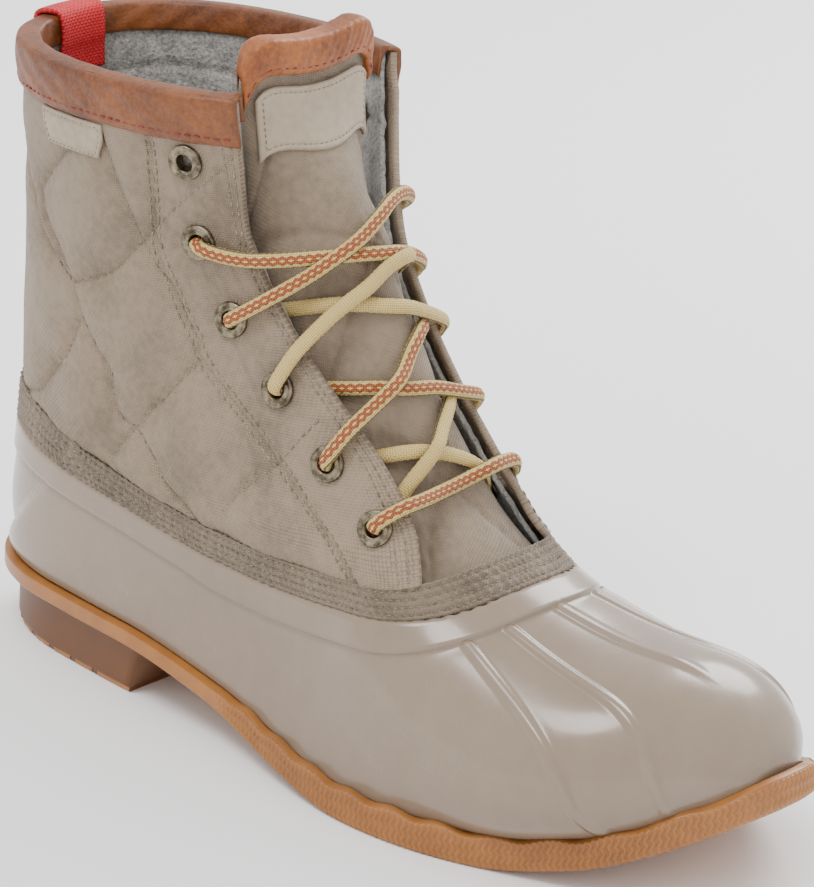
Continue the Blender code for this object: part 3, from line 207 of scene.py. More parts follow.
# Lines seen from the side, station and share of SHELL_HEIGHT: the shell's edge, the stitched band's top
TOPLINE = (
    (0.00, 1.125), (0.07, 1.115), (0.13, 1.075), (0.19, 1.030), (0.25, 0.990), (0.31, 0.950), (0.38, 0.920),
    (0.45, 0.912), (0.52, 0.932), (0.59, 0.970), (0.64, 1.005), (0.68, 1.060), (0.72, 1.180),
)
BAND_TOP = (
    (0.00, 1.320), (0.07, 1.305), (0.13, 1.255), (0.19, 1.180), (0.25, 1.120), (0.31, 1.075), (0.38, 1.045),
    (0.45, 1.040), (0.52, 1.060), (0.58, 1.085), (0.62, 1.110), (0.65, 1.155), (0.68, 1.240),
)
# Throat's edges: share of the way up, station of the outer and of the inner edge
THROAT = (
    (0.00, 0.640, 0.640), (0.10, 0.614, 0.606), (0.20, 0.578, 0.572), (0.30, 0.532, 0.532),
    (0.40, 0.482, 0.500), (0.50, 0.438, 0.476), (0.60, 0.406, 0.450), (0.70, 0.388, 0.424),
    (0.80, 0.384, 0.398), (0.90, 0.382, 0.376), (1.00, 0.381, 0.362),
)
print(len(SECTIONS), "sections from the toe to the collar")

# %% Curves through the tables
KNOTS = {}


def spline(rows, column, at):
    """Natural cubic spline through a table's column."""
    if (rows, column) not in KNOTS:
        x = np.array([r[0] for r in rows])
        y = np.array([r[column] for r in rows])
        h = np.diff(x)
        slope = np.diff(y) / h
        system = np.eye(len(x))
        right = np.zeros(len(x))
        for i in range(1, len(x) - 1):
            system[i, i - 1 : i + 2] = h[i - 1], 2 * (h[i - 1] + h[i]), h[i]
            right[i] = 6 * (slope[i] - slope[i - 1])
        KNOTS[rows, column] = x, y, h, np.linalg.solve(system, right)
    x, y, h, m = KNOTS[rows, column]
    at = np.asarray(at, float)
    i = np.clip(np.searchsorted(x, at) - 1, 0, len(x) - 2)
    a = x[i + 1] - at
    b = at - x[i]
    w = h[i]
    ends = (y[i] / w - m[i] * w / 6) * a + (y[i + 1] / w - m[i + 1] * w / 6) * b
    return (m[i] * a**3 + m[i + 1] * b**3) / (6 * w) + ends


def steady(rows, column, at):
    """Cubic through a table's column that never overshoots its rows."""
    if (rows, column, "steady") not in KNOTS:
        x = np.array([r[0] for r in rows])
        y = np.array([r[column] for r in rows])
        h = np.diff(x)
        d = np.diff(y) / h
        m = np.zeros(len(x))
        m[0], m[-1] = d[0], d[-1]
        for i in range(1, len(x) - 1):
            if d[i - 1] * d[i] > 0:
                m[i] = 2 * d[i - 1] * d[i] / (d[i - 1] + d[i])
        KNOTS[rows, column, "steady"] = x, y, h, m
    x, y, h, m = KNOTS[rows, column, "steady"]
    at = np.asarray(at, float)
    i = np.clip(np.searchsorted(x, at) - 1, 0, len(x) - 2)
    t = (at - x[i]) / h[i]
    ends = (2 * t**3 - 3 * t**2 + 1) * y[i] + (3 * t**2 - 2 * t**3) * y[i + 1]
    return ends + (t**3 - 2 * t**2 + t) * h[i] * m[i] + (t**3 - t**2) * h[i] * m[i + 1]


def smooth(x):
    x = np.clip(x, 0, 1)
    return x * x * (3 - 2 * x)


print("half width at the ball", round(float(spline(SOLE_ROWS, 2, 0.7)) * SOLE_WIDTH * 1000, 1), "mm")

# %% Sole and sections
def station(points):
    """Share of the sole's length from the heel at which points lie."""
    return 0.5 - points[..., 1] / SOLE_LENGTH


def outline(s, inset=0.0):
    """Middle and half width of the sole at station s, taken in by inset all round."""
    s = np.asarray(s, float)
    end = inset / SOLE_LENGTH
    half = spline(SOLE_ROWS, 2, s) * SOLE_WIDTH - inset
    t = np.clip((HEEL_ROUND + end - s) / HEEL_ROUND, 0, 1)
    half = half * (1 - t**HEEL_POWER) ** (1 / HEEL_POWER)
    t = np.clip((s - (1 - TOE_ROUND - end)) / TOE_ROUND, 0, 1)
    half = half * (1 - t**TOE_POWER) ** (1 / TOE_POWER)
    return spline(SOLE_ROWS, 1, s) * SOLE_WIDTH, half


def seat(s):
    """Height of the outsole's top face."""
    return BALL_SOLE + HEEL_RISE * steady(LEVELS, 1, s) + TOE_SPRING * steady(LEVELS, 2, s)


def underside(s):
    return seat(s) - BALL_SOLE * steady(PLATE, 1, s)


def section(u):
    """A section's base and top in side view, middle, half width, the same at its base, widest height."""
    u = np.asarray(u, float)
    base_s = spline(SECTIONS, 1, u)
    base_s = np.where(u <= U_HEEL, np.maximum(base_s, SECTIONS[HEEL_ROW][1]), base_s)
    climb = np.where(u <= U_HEEL, 0.0, np.clip(steady(SECTIONS[HEEL_ROW:], 2, np.maximum(u, U_HEEL)), 0, 1))
    foot = seat(np.clip(base_s, 0, 1)) + GAP
    base_z = foot + climb * (COLLAR_HEIGHT - seat(0.0) - GAP)
    top_s = spline(SECTIONS, 3, u)
    top_z = spline(SECTIONS, 4, u) * COLLAR_HEIGHT
    middle = spline(SECTIONS, 5, u) * SOLE_WIDTH
    half = spline(SECTIONS, 6, u) * SOLE_WIDTH
    foot_middle, foot_half = outline(base_s, RIM_INSET)
    foot_half = np.where(climb > 0, 0.0, foot_half)
    foot_middle = foot_middle * (1 - climb) + middle * climb
    tau = np.clip((base_s - (TIP - TOE_ROUND)) / TOE_ROUND, 0, 1)
    half = np.maximum(half * (1 - tau**TOE_POWER) ** (1 / TOE_POWER), foot_half)
    tau = np.clip((base_s - (TIP - TOE_TOP_ROUND)) / TOE_TOP_ROUND, 0, 1)
    top_z = base_z + (top_z - base_z) * (1 - tau**TOE_TOP_POWER) ** (1 / TOE_TOP_POWER)
    return base_s, base_z, top_s, top_z, middle, half, foot_middle, foot_half, spline(SECTIONS, 7, u)


def upper(u, a):
    """Point of the upper's outside; |a| is 0 on the ridge, 1 on the feather line or back, a < 0 outer."""
    u, a = np.broadcast_arrays(np.asarray(u, float), np.asarray(a, float))
    base_s, base_z, top_s, top_z, middle, half, foot_middle, foot_half, widest = section(u)
    m = np.abs(a)
    high = np.clip(m / A_WIDEST, 0, 1) * math.pi / 2
    low = np.clip((m - A_WIDEST) / (1 - A_WIDEST), 0, 1) * math.pi / 2
    x_high = half * np.sin(high) ** (2 / ROUND_TOP)
    v_high = widest + (1 - widest) * np.cos(high) ** (2 / ROUND_TOP)
    x_low = foot_half + (half - foot_half) * np.cos(low) ** (2 / ROUND_BASE)
    v_low = widest * (1 - np.sin(low) ** (2 / ROUND_BASE))
    x = np.where(m < A_WIDEST, x_high, x_low)
    v = np.where(m < A_WIDEST, v_high, v_low)
    s = base_s + v * (top_s - base_s)
    z = base_z + v * (top_z - base_z)
    sway = np.clip(v / widest, 0, 1)
    middle = foot_middle + (middle - foot_middle) * sway * (2 - sway)
    return np.stack([middle + np.sign(a) * x, SOLE_LENGTH * (0.5 - s), z], -1)


EVEN_REACH = 0.012  # share of u that evens out the normals of the shaft, band, lace and eyelets


def surface_normals(u, a, reach=1.5e-3):
    """Outward unit normals of the upper at u and a; a longer reach evens them out."""
    e = 1.5e-3
    u, a = np.broadcast_arrays(np.asarray(u, float), np.asarray(a, float))
    over = upper(np.clip(u + reach, 0, 1), a) - upper(np.clip(u - reach, 0, 1), a)
    a_in = np.where(np.abs(a) > 1 - 2 * e, np.sign(a) * (1 - 2 * e), a)
    n = np.cross(over, upper(u, a_in + e) - upper(u, a_in - e))
    n /= np.linalg.norm(n, axis=-1, keepdims=True) + 1e-12
    centre = upper(u, 0.0) * 0.5 + upper(u, 1.0) * 0.5
    n = np.where((((upper(u, a) - centre) * n).sum(-1) < 0)[..., None], -n, n)
    n[..., 0] = np.where(np.abs(a) > 1 - 1e-6, 0, n[..., 0])
    return n / (np.linalg.norm(n, axis=-1, keepdims=True) + 1e-12)


print("seat at the ball and heel", [round(float(seat(s)) * 1000, 1) for s in (0.6, 0.0)], "mm")

# %% Lines drawn on the form
def from_side(s, z):
    """u and |a| of the upper's point seen in side view at station s and height z."""
    s, z = np.broadcast_arrays(np.asarray(s, float), np.asarray(z, float))
    low = np.full(s.shape, 0.02)
    high = np.full(s.shape, 1.0)
    for _ in range(40):
        u = (low + high) / 2
        base_s, base_z, top_s, top_z = section(u)[:4]
        ahead = (s - base_s) * (top_z - base_z) > (z - base_z) * (top_s - base_s)
        high = np.where(ahead, u, high)
        low = np.where(ahead, low, u)
    u = (low + high) / 2
    base_s, base_z, top_s, top_z = section(u)[:4]
    widest = section(u)[-1]
    v = np.clip((z - base_z) / (top_z - base_z), 0, 1)
    up = np.clip((v - widest) / (1 - widest), 0, 1) ** (ROUND_TOP / 2)
    down = np.clip(1 - v / widest, 0, 1) ** (ROUND_BASE / 2)
    a_high = np.arccos(up) / (math.pi / 2) * A_WIDEST
    a_low = A_WIDEST + (1 - A_WIDEST) * np.arcsin(down) / (math.pi / 2)
    return u, np.where(v > widest, a_high, a_low)


class Line:
    """A line on the upper, kept as u and |a| over its share of length (0 at the front, 1 at the back)."""

    def __init__(self, u, a):
        step = np.linalg.norm(np.diff(upper(u, a), axis=0), axis=1)
        self.length = float(step.sum())
        self.share = np.concatenate([[0], np.cumsum(step)]) / self.length
        self.u, self.a = u, a

    def at(self, share):
        return np.interp(share, self.share, self.u), np.interp(share, self.share, self.a)


def side_line(rows, scale):
    """The line that a side view table gives, from the ridge to the middle of the back."""
    ridge = upper(np.linspace(0.10, 0.60, 1200), 0.0)
    ridge_s = station(ridge)
    height = steady(rows, 1, np.clip(ridge_s, rows[0][0], rows[-1][0])) * scale
    over = np.where(ridge_s < rows[-1][0], ridge[:, 2] - height, -1)
    front = float(ridge_s[np.argmax(over > 0)])
    back_u = np.linspace(U_HEEL + 0.001, 1.0, 800)
    back_s, back_z = section(back_u)[:2]
    back = float(back_s[np.argmax(back_z > steady(rows, 1, np.clip(back_s, 0, 1)) * scale)])
    t = (1 - np.cos(np.linspace(0, math.pi, 500))) / 2
    t = 0.7 * t + 0.3 * t**2 * (3 - 2 * t)
    s = front + (back - front) * t
    u, a = from_side(s, steady(rows, 1, s) * scale)
    a[0], a[-1] = 0.0, 1.0
    return Line(u, np.maximum.accumulate(a))


TOP_EDGE = side_line(TOPLINE, SHELL_HEIGHT)
BAND_EDGE = side_line(BAND_TOP, SHELL_HEIGHT)
heel_u = np.concatenate([np.linspace(0, 0.7, 500), U_HEEL - 0.06 * np.linspace(1, 0, 400) ** 2])
FEATHER = Line(heel_u, np.ones(len(heel_u)))
print("shell edge", round(TOP_EDGE.length * 1000), "mm a side, sole line", round(FEATHER.length * 1000), "mm")

# %% [markdown]
# ## One way to make a curved piece
# Almost every piece of a boot is a flat cut that is bent over the last. Blender's grid operator gives the
# flat cut, and a function says where each of its vertices lies on the form. The UV map is laid out in
# metres along the piece's middle lines, so a weave has its real thread size there.

# %% Laying a grid
def run_along(points):
    """Distance along a line of points, 0 at its start."""
    return np.concatenate([[0], np.cumsum(np.linalg.norm(np.diff(points, axis=0), axis=1))])


def laid_grid(place, across, up):
    """Grid bent over the form: place(t, v) gives the points for arrays of positions across and up."""
    shape = bmesh.new()
    columns, rows = len(across) - 1, len(up) - 1
    bmesh.ops.create_grid(shape, x_segments=columns, y_segments=rows, size=1.0)
    verts = list(shape.verts)
    flat = np.array([v.co[:] for v in verts])
    i = np.rint((flat[:, 0] + 1) / 2 * columns).astype(int)
    j = np.rint((flat[:, 1] + 1) / 2 * rows).astype(int)
    points = place(across[i], up[j])
    on_row, on_column = j == rows // 2, i == columns // 2
    run = run_along(points[on_row][np.argsort(i[on_row])])
    rise = run_along(points[on_column][np.argsort(j[on_column])])
    for vert, point in zip(verts, points):
        vert.co = point
    layer = shape.loops.layers.uv.new("cloth")
    for face in shape.faces:
        for loop in face.loops:
            k = loop.vert.index
            loop[layer].uv = (run[i[k]], rise[j[k]])
    return shape


def finished(name, shape, paint, replaced=(), merge=True, fill=False, solid=0.0):
    """Closes a shape and makes it a named piece that rides on the boot."""
    if merge:
        bmesh.ops.remove_doubles(shape, verts=shape.verts, dist=2e-6)
        bmesh.ops.dissolve_degenerate(shape, edges=shape.edges, dist=1e-6)
    if fill:
        rims = [e for e in shape.edges if e.is_boundary]
        bmesh.ops.holes_fill(shape, edges=rims, sides=0)
    bmesh.ops.recalc_face_normals(shape, faces=shape.faces)
    for face in shape.faces:
        face.smooth = True
    mesh = bpy.data.meshes.new(name)
    shape.to_mesh(mesh)
    shape.free()
    piece = bpy.data.objects.new(name, mesh)
    bpy.context.scene.collection.objects.link(piece)
    mesh.materials.append(paint)
    if solid:
        wall = piece.modifiers.new("wall", "SOLIDIFY")
        wall.thickness = solid
        wall.offset = -1
    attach(piece, "root")
    if replaced:
        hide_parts(*replaced)
    print(name, len(mesh.polygons), "faces")
    return piece


def facing_out(shape, centre):
    """Turns an open sheet so that its faces look away from a centre line's point."""
    bmesh.ops.recalc_face_normals(shape, faces=shape.faces)
    outward = sum(f.normal.dot(f.calc_center_median() - centre) * f.calc_area() for f in shape.faces)
    if outward < 0:
        bmesh.ops.reverse_faces(shape, faces=shape.faces)


# %% [markdown]
# ## Finishes
# Each finish is a Principled material. Cloth, leather and rubber share a few effects: a weave, a soft
# mottle and a fine grain. Each effect is a node group with named sockets, built once and tuned by each
# material that uses it.

# %% Small helpers for node trees
def add(tree, kind, inputs=(), **settings):
    """Adds a node, sets its properties and its sockets; a socket given as a value is linked."""
    made = tree.nodes.new(kind)
    for key, value in settings.items():
        setattr(made, key, value)
    for key, value in dict(inputs).items():
        if isinstance(value, bpy.types.NodeSocket):
            tree.links.new(value, made.inputs[key])
        else:
            made.inputs[key].default_value = value
    return made


def calc(tree, operation, first, second=0.0, third=0.0):
    made = add(tree, "ShaderNodeMath", {0: first, 1: second, 2: third}, operation=operation)
    return made.outputs[0]


def new_group(name, inputs, outputs):
    group = bpy.data.node_groups.new(name, "ShaderNodeTree")
    for label, kind, value in inputs:
        socket = group.interface.new_socket(label, in_out="INPUT", socket_type=kind)
        if value is not None:
            socket.default_value = value
    for label, kind in outputs:
        group.interface.new_socket(label, in_out="OUTPUT", socket_type=kind)
    return group, add(group, "NodeGroupInput"), add(group, "NodeGroupOutput")


# %% Weave
def weave_group():
    """Plain weave: warp and weft threads that dive under each other."""
    group, given, out = new_group(
        "weave", [("Vector", "NodeSocketVector", None), ("Threads", "NodeSocketFloat", 2000.0)],
        [("Height", "NodeSocketFloat")],
    )
    scaled = add(group, "ShaderNodeVectorMath", {0: given.outputs["Vector"], 3: given.outputs["Threads"]},
                 operation="SCALE")
    parts = add(group, "ShaderNodeSeparateXYZ", {0: scaled.outputs[0]})
    x, y = parts.outputs["X"], parts.outputs["Y"]
    warp = calc(group, "ABSOLUTE", calc(group, "SINE", calc(group, "MULTIPLY", x, math.pi)))
    weft = calc(group, "ABSOLUTE", calc(group, "SINE", calc(group, "MULTIPLY", y, math.pi)))
    cell = calc(group, "ADD", calc(group, "FLOOR", x), calc(group, "FLOOR", y))
    over = calc(group, "PINGPONG", cell, 1.0)
    first = calc(group, "MULTIPLY", warp, over)
    second = calc(group, "MULTIPLY", weft, calc(group, "SUBTRACT", 1.0, over))
    group.links.new(calc(group, "ADD", first, second), out.inputs["Height"])
    return group


# %% Mottle and grain
def mottle_group():
    """Soft uneven tone, from a low and a high noise."""
    group, given, out = new_group(
        "mottle", [("Vector", "NodeSocketVector", None), ("Scale", "NodeSocketFloat", 40.0)],
        [("Tone", "NodeSocketFloat")],
    )
    low = add(group, "ShaderNodeTexNoise", {"Vector": given.outputs[0], "Scale": given.outputs[1]})
    finer = calc(group, "MULTIPLY", given.outputs[1], 9.0)
    high = add(group, "ShaderNodeTexNoise", {"Vector": given.outputs[0], "Scale": finer, "Detail": 4.0})
    tone = calc(group, "MULTIPLY_ADD", high.outputs[0], 0.4, calc(group, "MULTIPLY", low.outputs[0], 0.6))
    group.links.new(tone, out.inputs["Tone"])
    return group


def grain_group():
    """Pebbled grain of leather: rounded cells with fine creases."""
    group, given, out = new_group(
        "grain", [("Vector", "NodeSocketVector", None), ("Scale", "NodeSocketFloat", 900.0)],
        [("Height", "NodeSocketFloat")],
    )
    cells = add(group, "ShaderNodeTexVoronoi", {"Vector": given.outputs[0], "Scale": given.outputs[1]})
    crease = add(group, "ShaderNodeTexNoise", {"Vector": given.outputs[0], "Scale": 260.0, "Detail": 5.0})
    rounded_cells = calc(group, "MULTIPLY", cells.outputs[0], -0.5)
    height = calc(group, "MULTIPLY_ADD", crease.outputs[0], 0.8, rounded_cells)
    group.links.new(height, out.inputs["Height"])
    return group


WEAVE, MOTTLE, GRAIN = weave_group(), mottle_group(), grain_group()
print("node groups", [g.name for g in bpy.data.node_groups])

# %% Paint
def use(tree, group, inputs):
    """Places a node group, sets or links its sockets and returns what it puts out."""
    made = add(tree, "ShaderNodeGroup", node_tree=group)
    for key, value in inputs.items():
        if isinstance(value, bpy.types.NodeSocket):
            tree.links.new(value, made.inputs[key])
        else:
            made.inputs[key].default_value = value
    return made.outputs[0]


def toned(tree, dark, light, factor, low=0.35, high=0.65):
    """Colour that runs from dark to light as a factor goes from low to high."""
    spread = add(tree, "ShaderNodeMapRange", {0: factor, 1: low, 2: high})
    mix = add(tree, "ShaderNodeMix", data_type="RGBA")
    tree.links.new(spread.outputs[0], mix.inputs[0])
    mix.inputs[6].default_value = (*dark, 1)
    mix.inputs[7].default_value = (*light, 1)
    return mix.outputs[2]


def start_paint(name, roughness, metallic=0.0):
    """A new Principled material with the coordinates that its patterns read."""
    paint = bpy.data.materials.new(name)
    paint.use_nodes = True
    tree = paint.node_tree
    shader = tree.nodes["Principled BSDF"]
    shader.inputs["Roughness"].default_value = roughness
    shader.inputs["Metallic"].default_value = metallic
    where = add(tree, "ShaderNodeTexCoord")
    return paint, tree, shader, where


def bump(tree, shader, height, distance, strength=1.0):
    made = add(tree, "ShaderNodeBump", {"Height": height, "Distance": distance, "Strength": strength})
    tree.links.new(made.outputs[0], shader.inputs["Normal"])


def cloth_paint(name, dark, light, threads, relief, roughness=0.7, sheen=0.25):
    """Woven cloth: thread relief and tone from the weave, soft mottle over it."""
    paint, tree, shader, where = start_paint(name, roughness)
    weave = use(tree, WEAVE, {"Vector": where.outputs["UV"], "Threads": threads})
    tone = use(tree, MOTTLE, {"Vector": where.outputs["Object"], "Scale": 45.0})
    both = calc(tree, "MULTIPLY_ADD", weave, 0.22, calc(tree, "MULTIPLY", tone, 0.78))
    tree.links.new(toned(tree, dark, light, both, 0.32, 0.62), shader.inputs["Base Color"])
    bump(tree, shader, weave, relief, 0.8)
    shader.inputs["Sheen Weight"].default_value = sheen
    shader.inputs["Sheen Roughness"].default_value = 0.4
    return paint


def rubber_paint(name, dark, light, roughness, coat, relief):
    """Moulded rubber: nearly even tone, gloss that varies a little, faint skin."""
    paint, tree, shader, where = start_paint(name, roughness)
    tone = use(tree, MOTTLE, {"Vector": where.outputs["Object"], "Scale": 18.0})
    tree.links.new(toned(tree, dark, light, tone), shader.inputs["Base Color"])
    gloss = add(tree, "ShaderNodeMapRange",
                {0: tone, 1: 0.3, 2: 0.7, 3: roughness - 0.05, 4: roughness + 0.08})
    tree.links.new(gloss.outputs[0], shader.inputs["Roughness"])
    skin = use(tree, MOTTLE, {"Vector": where.outputs["Object"], "Scale": 320.0})
    bump(tree, shader, skin, relief, 0.5)
    shader.inputs["Coat Weight"].default_value = coat
    shader.inputs["Coat Roughness"].default_value = 0.12
    return paint


def leather_paint(name, dark, light):
    """Oiled leather: pebbled grain, darker in its creases."""
    paint, tree, shader, where = start_paint(name, 0.5)
    grain = use(tree, GRAIN, {"Vector": where.outputs["Object"], "Scale": 1100.0})
    tone = use(tree, MOTTLE, {"Vector": where.outputs["Object"], "Scale": 60.0})
    both = calc(tree, "MULTIPLY_ADD", grain, 0.35, tone)
    tree.links.new(toned(tree, dark, light, both, 0.38, 0.72), shader.inputs["Base Color"])
    bump(tree, shader, grain, 0.00018, 0.6)
    return paint


# %% The boot's finishes
# Each cloth and rubber: dark and light tone, threads per metre or roughness and coat, relief in metres
NYLON_THREADS = 1700.0
NYLON = cloth_paint("taupe_nylon", (0.125, 0.089, 0.056), (0.285, 0.212, 0.143),
                    NYLON_THREADS, 0.00016, 0.6, 0.1)
TONGUE_NYLON = cloth_paint("tongue_nylon", (0.13, 0.093, 0.059), (0.29, 0.217, 0.147), NYLON_THREADS, 0.00016)
SHELL = rubber_paint("taupe_shell", (0.222, 0.160, 0.112), (0.250, 0.183, 0.130), 0.24, 0.35, 0.00003)
GUM = rubber_paint("gum_sole", (0.255, 0.088, 0.014), (0.375, 0.145, 0.027), 0.40, 0.1, 0.00006)
# The heel block is the same gum as the sole: its darker tones are painted shade, its higher roughness is the
# rubber's own
SHADED_HEEL_GUM = rubber_paint("heel_gum_painted_shade", (0.100, 0.034, 0.007), (0.135, 0.048, 0.010), 0.5, 0.0, 0.00008)
LEATHER = leather_paint("cognac_leather", (0.085, 0.022, 0.004), (0.225, 0.066, 0.013))
TONGUE_LEATHER = leather_paint("orange_leather", (0.16, 0.040, 0.006), (0.36, 0.105, 0.018))
WEBBING = cloth_paint("red_webbing", (0.30, 0.002, 0.005), (0.60, 0.008, 0.014),
                      1100.0, 0.00022, 0.65, 0.0)
LABEL = cloth_paint("label_cloth", (0.27, 0.205, 0.14), (0.43, 0.345, 0.25), 2600.0, 0.00008, 0.6, 0.0)


def fleece_paint():
    """Grey fleece: matt curls in small clumps."""
    paint, tree, shader, where = start_paint("grey_fleece", 0.95)
    curl = add(tree, "ShaderNodeTexNoise", {"Vector": where.outputs["Object"], "Scale": 900.0, "Detail": 5.0})
    clump = use(tree, MOTTLE, {"Vector": where.outputs["Object"], "Scale": 170.0})
    both = calc(tree, "MULTIPLY_ADD", curl.outputs[0], 0.5, calc(tree, "MULTIPLY", clump, 0.5))
    tree.links.new(toned(tree, (0.14, 0.135, 0.125), (0.42, 0.405, 0.375), both, 0.36, 0.62),
                   shader.inputs["Base Color"])
    bump(tree, shader, both, 0.0012, 0.9)
    shader.inputs["Sheen Weight"].default_value = 0.4
    return paint


def brass_paint():
    """Antique brass: dark in the hollows, rubbed brighter on the crown."""
    paint, tree, shader, where = start_paint("antique_brass", 0.38, 1.0)
    wear = use(tree, MOTTLE, {"Vector": where.outputs["Object"], "Scale": 420.0})
    tree.links.new(toned(tree, (0.07, 0.055, 0.036), (0.36, 0.30, 0.21), wear, 0.40, 0.66),
                   shader.inputs["Base Color"])
    bump(tree, shader, wear, 0.00010, 0.5)
    return paint


def thread_paint(name, dark, light):
    paint, tree, shader, where = start_paint(name, 0.6)
    tone = use(tree, MOTTLE, {"Vector": where.outputs["Object"], "Scale": 300.0})
    tree.links.new(toned(tree, dark, light, tone), shader.inputs["Base Color"])
    return paint


FLEECE, BRASS = fleece_paint(), brass_paint()
TAUPE_THREAD = thread_paint("taupe_thread", (0.10, 0.078, 0.055), (0.30, 0.25, 0.19))
RED_THREAD = thread_paint("red_thread", (0.13, 0.008, 0.008), (0.26, 0.02, 0.015))
print("finishes", len(bpy.data.materials))

# %% [markdown]
# ## Rubber shell
# The lower of a duck boot is moulded in one piece: a glossy shell with raised ribs over the toes and a
# rolled band round its edge. We lay one grid over the form, add the ribs and the band as small steps along
# the surface normal, and give it the mould's wall with a Solidify modifier.

# %% Shell columns
RIBS = (0.000, 0.072, 0.118)  # ribs: share of the shell's edge from its front
RIB_WIDTH, RIB_HEIGHT, RIM_STEP = 0.0034, 0.0010, 0.0010
# Columns of the shell: share of the edge, share of the feather line
COLUMNS = (
    (0.00, 0.000), (0.072, 0.070), (0.118, 0.125), (0.30, 0.330), (0.50, 0.540), (0.75, 0.760), (1.00, 1.000),
)
SIDES_FROM, SIDES_RAMP = 0.45, 0.12  # share of the edge from which columns are straight in side view
BACK_FROM, BACK_RAMP = 0.86, 0.08  # share of the edge from which they follow the back's fan
# How quickly a column leaves the feather line: feather share, reach
REACH = ((0.00, 0.001), (0.03, 0.02), (0.07, 0.08), (0.125, 0.18), (0.20, 0.50), (0.33, 2.0), (1.00, 8.0))


def shell_path(share, v):
    """u and a on the shell's column that ends at a share of its edge; v runs up from the feather line."""
    p = np.abs(share)
    f = steady(COLUMNS, 1, p)
    u0 = FEATHER.at(f)[0]
    u1, a1 = TOP_EDGE.at(p)
    reach = np.exp(np.interp(f, [r[0] for r in REACH], [math.log(r[1]) for r in REACH]))
    u = u0 + (u1 - u0) * v
    a = a1 + (1 - a1) * (1 - v) * reach / (reach + v)
    low, high = upper(u0, 1.0), upper(u1, a1)
    line = low + (high - low) * v[..., None]
    side_u, side_a = from_side(station(line), line[..., 2])
    side = smooth((p - SIDES_FROM) / SIDES_RAMP)
    foot, half = section(u0)[7], section(u)[5]
    turn = (np.clip(a1, A_WIDEST, 1) - A_WIDEST) / (1 - A_WIDEST) * math.pi / 2
    edge = section(u1)[5] * np.cos(turn) ** (2 / ROUND_BASE)
    base = section(u)[7]
    out = np.clip((foot + (edge - foot) * v - base) / np.maximum(half - base, 1e-6), 0, 1) ** (ROUND_BASE / 2)
    back_a = A_WIDEST + (1 - A_WIDEST) * np.arccos(out) / (math.pi / 2)
    back = smooth((p - BACK_FROM) / BACK_RAMP)
    side_u = side_u + (u - side_u) * back
    side_a = side_a + (back_a - side_a) * back
    return u + (side_u - u) * side, np.where(share < 0, -1.0, 1.0) * (a + (side_a - a) * side)


COLUMN_SHARES = np.linspace(0, 1, 60)
RUN_STEPS = np.linspace(0, 1, 160) ** 1.5


def column_runs():
    """Length along each shell column, for turning a distance from the edge into v."""
    grid_u, grid_a = shell_path(*np.meshgrid(COLUMN_SHARES, RUN_STEPS))
    step = np.linalg.norm(np.diff(upper(grid_u, grid_a), axis=0), axis=2)
    return np.concatenate([np.zeros((1, len(COLUMN_SHARES))), np.cumsum(step, axis=0)])


RUNS = column_runs()


def shell_v(share, wanted):
    """v at a wanted distance from the feather line, on the column of each share."""
    k = np.clip(np.rint(np.abs(share) * (len(COLUMN_SHARES) - 1)).astype(int), 0, len(COLUMN_SHARES) - 1)
    out = np.empty(len(share))
    for column in np.unique(k):
        mask = k == column
        out[mask] = np.interp(wanted[mask], RUNS[:, column], RUN_STEPS)
    return out


def shell_length(share):
    return np.interp(np.abs(share), COLUMN_SHARES, RUNS[-1])


print("shell", round(float(shell_length(0.0)) * 1000), "mm high over the toe,",
      round(float(shell_length(1.0)) * 1000), "mm at the back")

# %% Shell surface
# Rows over the rim band: distance from its lower edge
RIM_ROWS = np.array([
    0.0, 0.00018, 0.0005, 0.0009, 0.002, 0.004, 0.006, 0.008, 0.0093, 0.0100, 0.01035, RIM_BAND,
])


def shell_point(share, row):
    """Point on the shell: row 0..1 below the rim band, 1..2 over the band."""
    length = shell_length(share)
    low = length - RIM_BAND
    run = np.where(row <= 1, low * row, low + RIM_BAND * (row - 1))
    k = np.abs(share) * (len(COLUMN_SHARES) - 1)
    lower = np.floor(k).astype(int) / (len(COLUMN_SHARES) - 1)
    upper_share = np.minimum(lower + 1 / (len(COLUMN_SHARES) - 1), 1.0)
    mix = np.clip(k - np.floor(k), 0, 1)
    v = shell_v(lower, run) * (1 - mix) + shell_v(upper_share, run) * mix
    u, a = shell_path(share, np.clip(v, 0, 1))
    point, n = upper(u, a), surface_normals(u, a)
    foot = smooth((0.10 - row) / 0.10)
    n[:, 2] *= 1 - 0.9 * foot
    n /= np.linalg.norm(n, axis=1, keepdims=True)
    into = (row - 1) * RIM_BAND
    band = RIM_STEP * smooth(into / 0.0008) * (1 - 0.75 * smooth((into - 0.0094) / 0.0011))
    step = np.where(row > 1, band, 0.0)
    groove = np.exp(-((into / 0.0005) ** 2)) * 0.00025
    beside_u, beside_a = shell_path(share + 0.002, np.clip(v, 0, 1))
    spread = np.linalg.norm(upper(beside_u, beside_a) - point, axis=1) / 0.002
    spread = np.where(np.abs(share) < 0.01, np.interp(row, [0, 1], [0.25, 0.20]), spread)
    rib = np.zeros(len(share))
    for centre in RIBS:
        across = (np.abs(share) - centre) * spread / (RIB_WIDTH / 2)
        rib = np.maximum(rib, np.exp(-np.abs(across) ** 3))
    fade = np.where(np.abs(share) < 0.03, smooth((row - 0.40) / 0.2), smooth((row - 0.02) / 0.05))
    rib = rib * RIB_HEIGHT * fade * (row <= 1.0)
    return point + n * (step + rib - groove)[:, None]


def shell_shares():
    """Columns, closer together where a rib runs."""
    near = [c + w * RIB_WIDTH / TOP_EDGE.length / 2 for c in RIBS for w in np.linspace(-1.4, 1.4, 29)]
    half = np.unique(np.round(np.concatenate([[0.0], [p for p in near if p > 0], np.linspace(0, 1, 120)]), 4))
    return np.concatenate([-half[::-1], half[1:]])


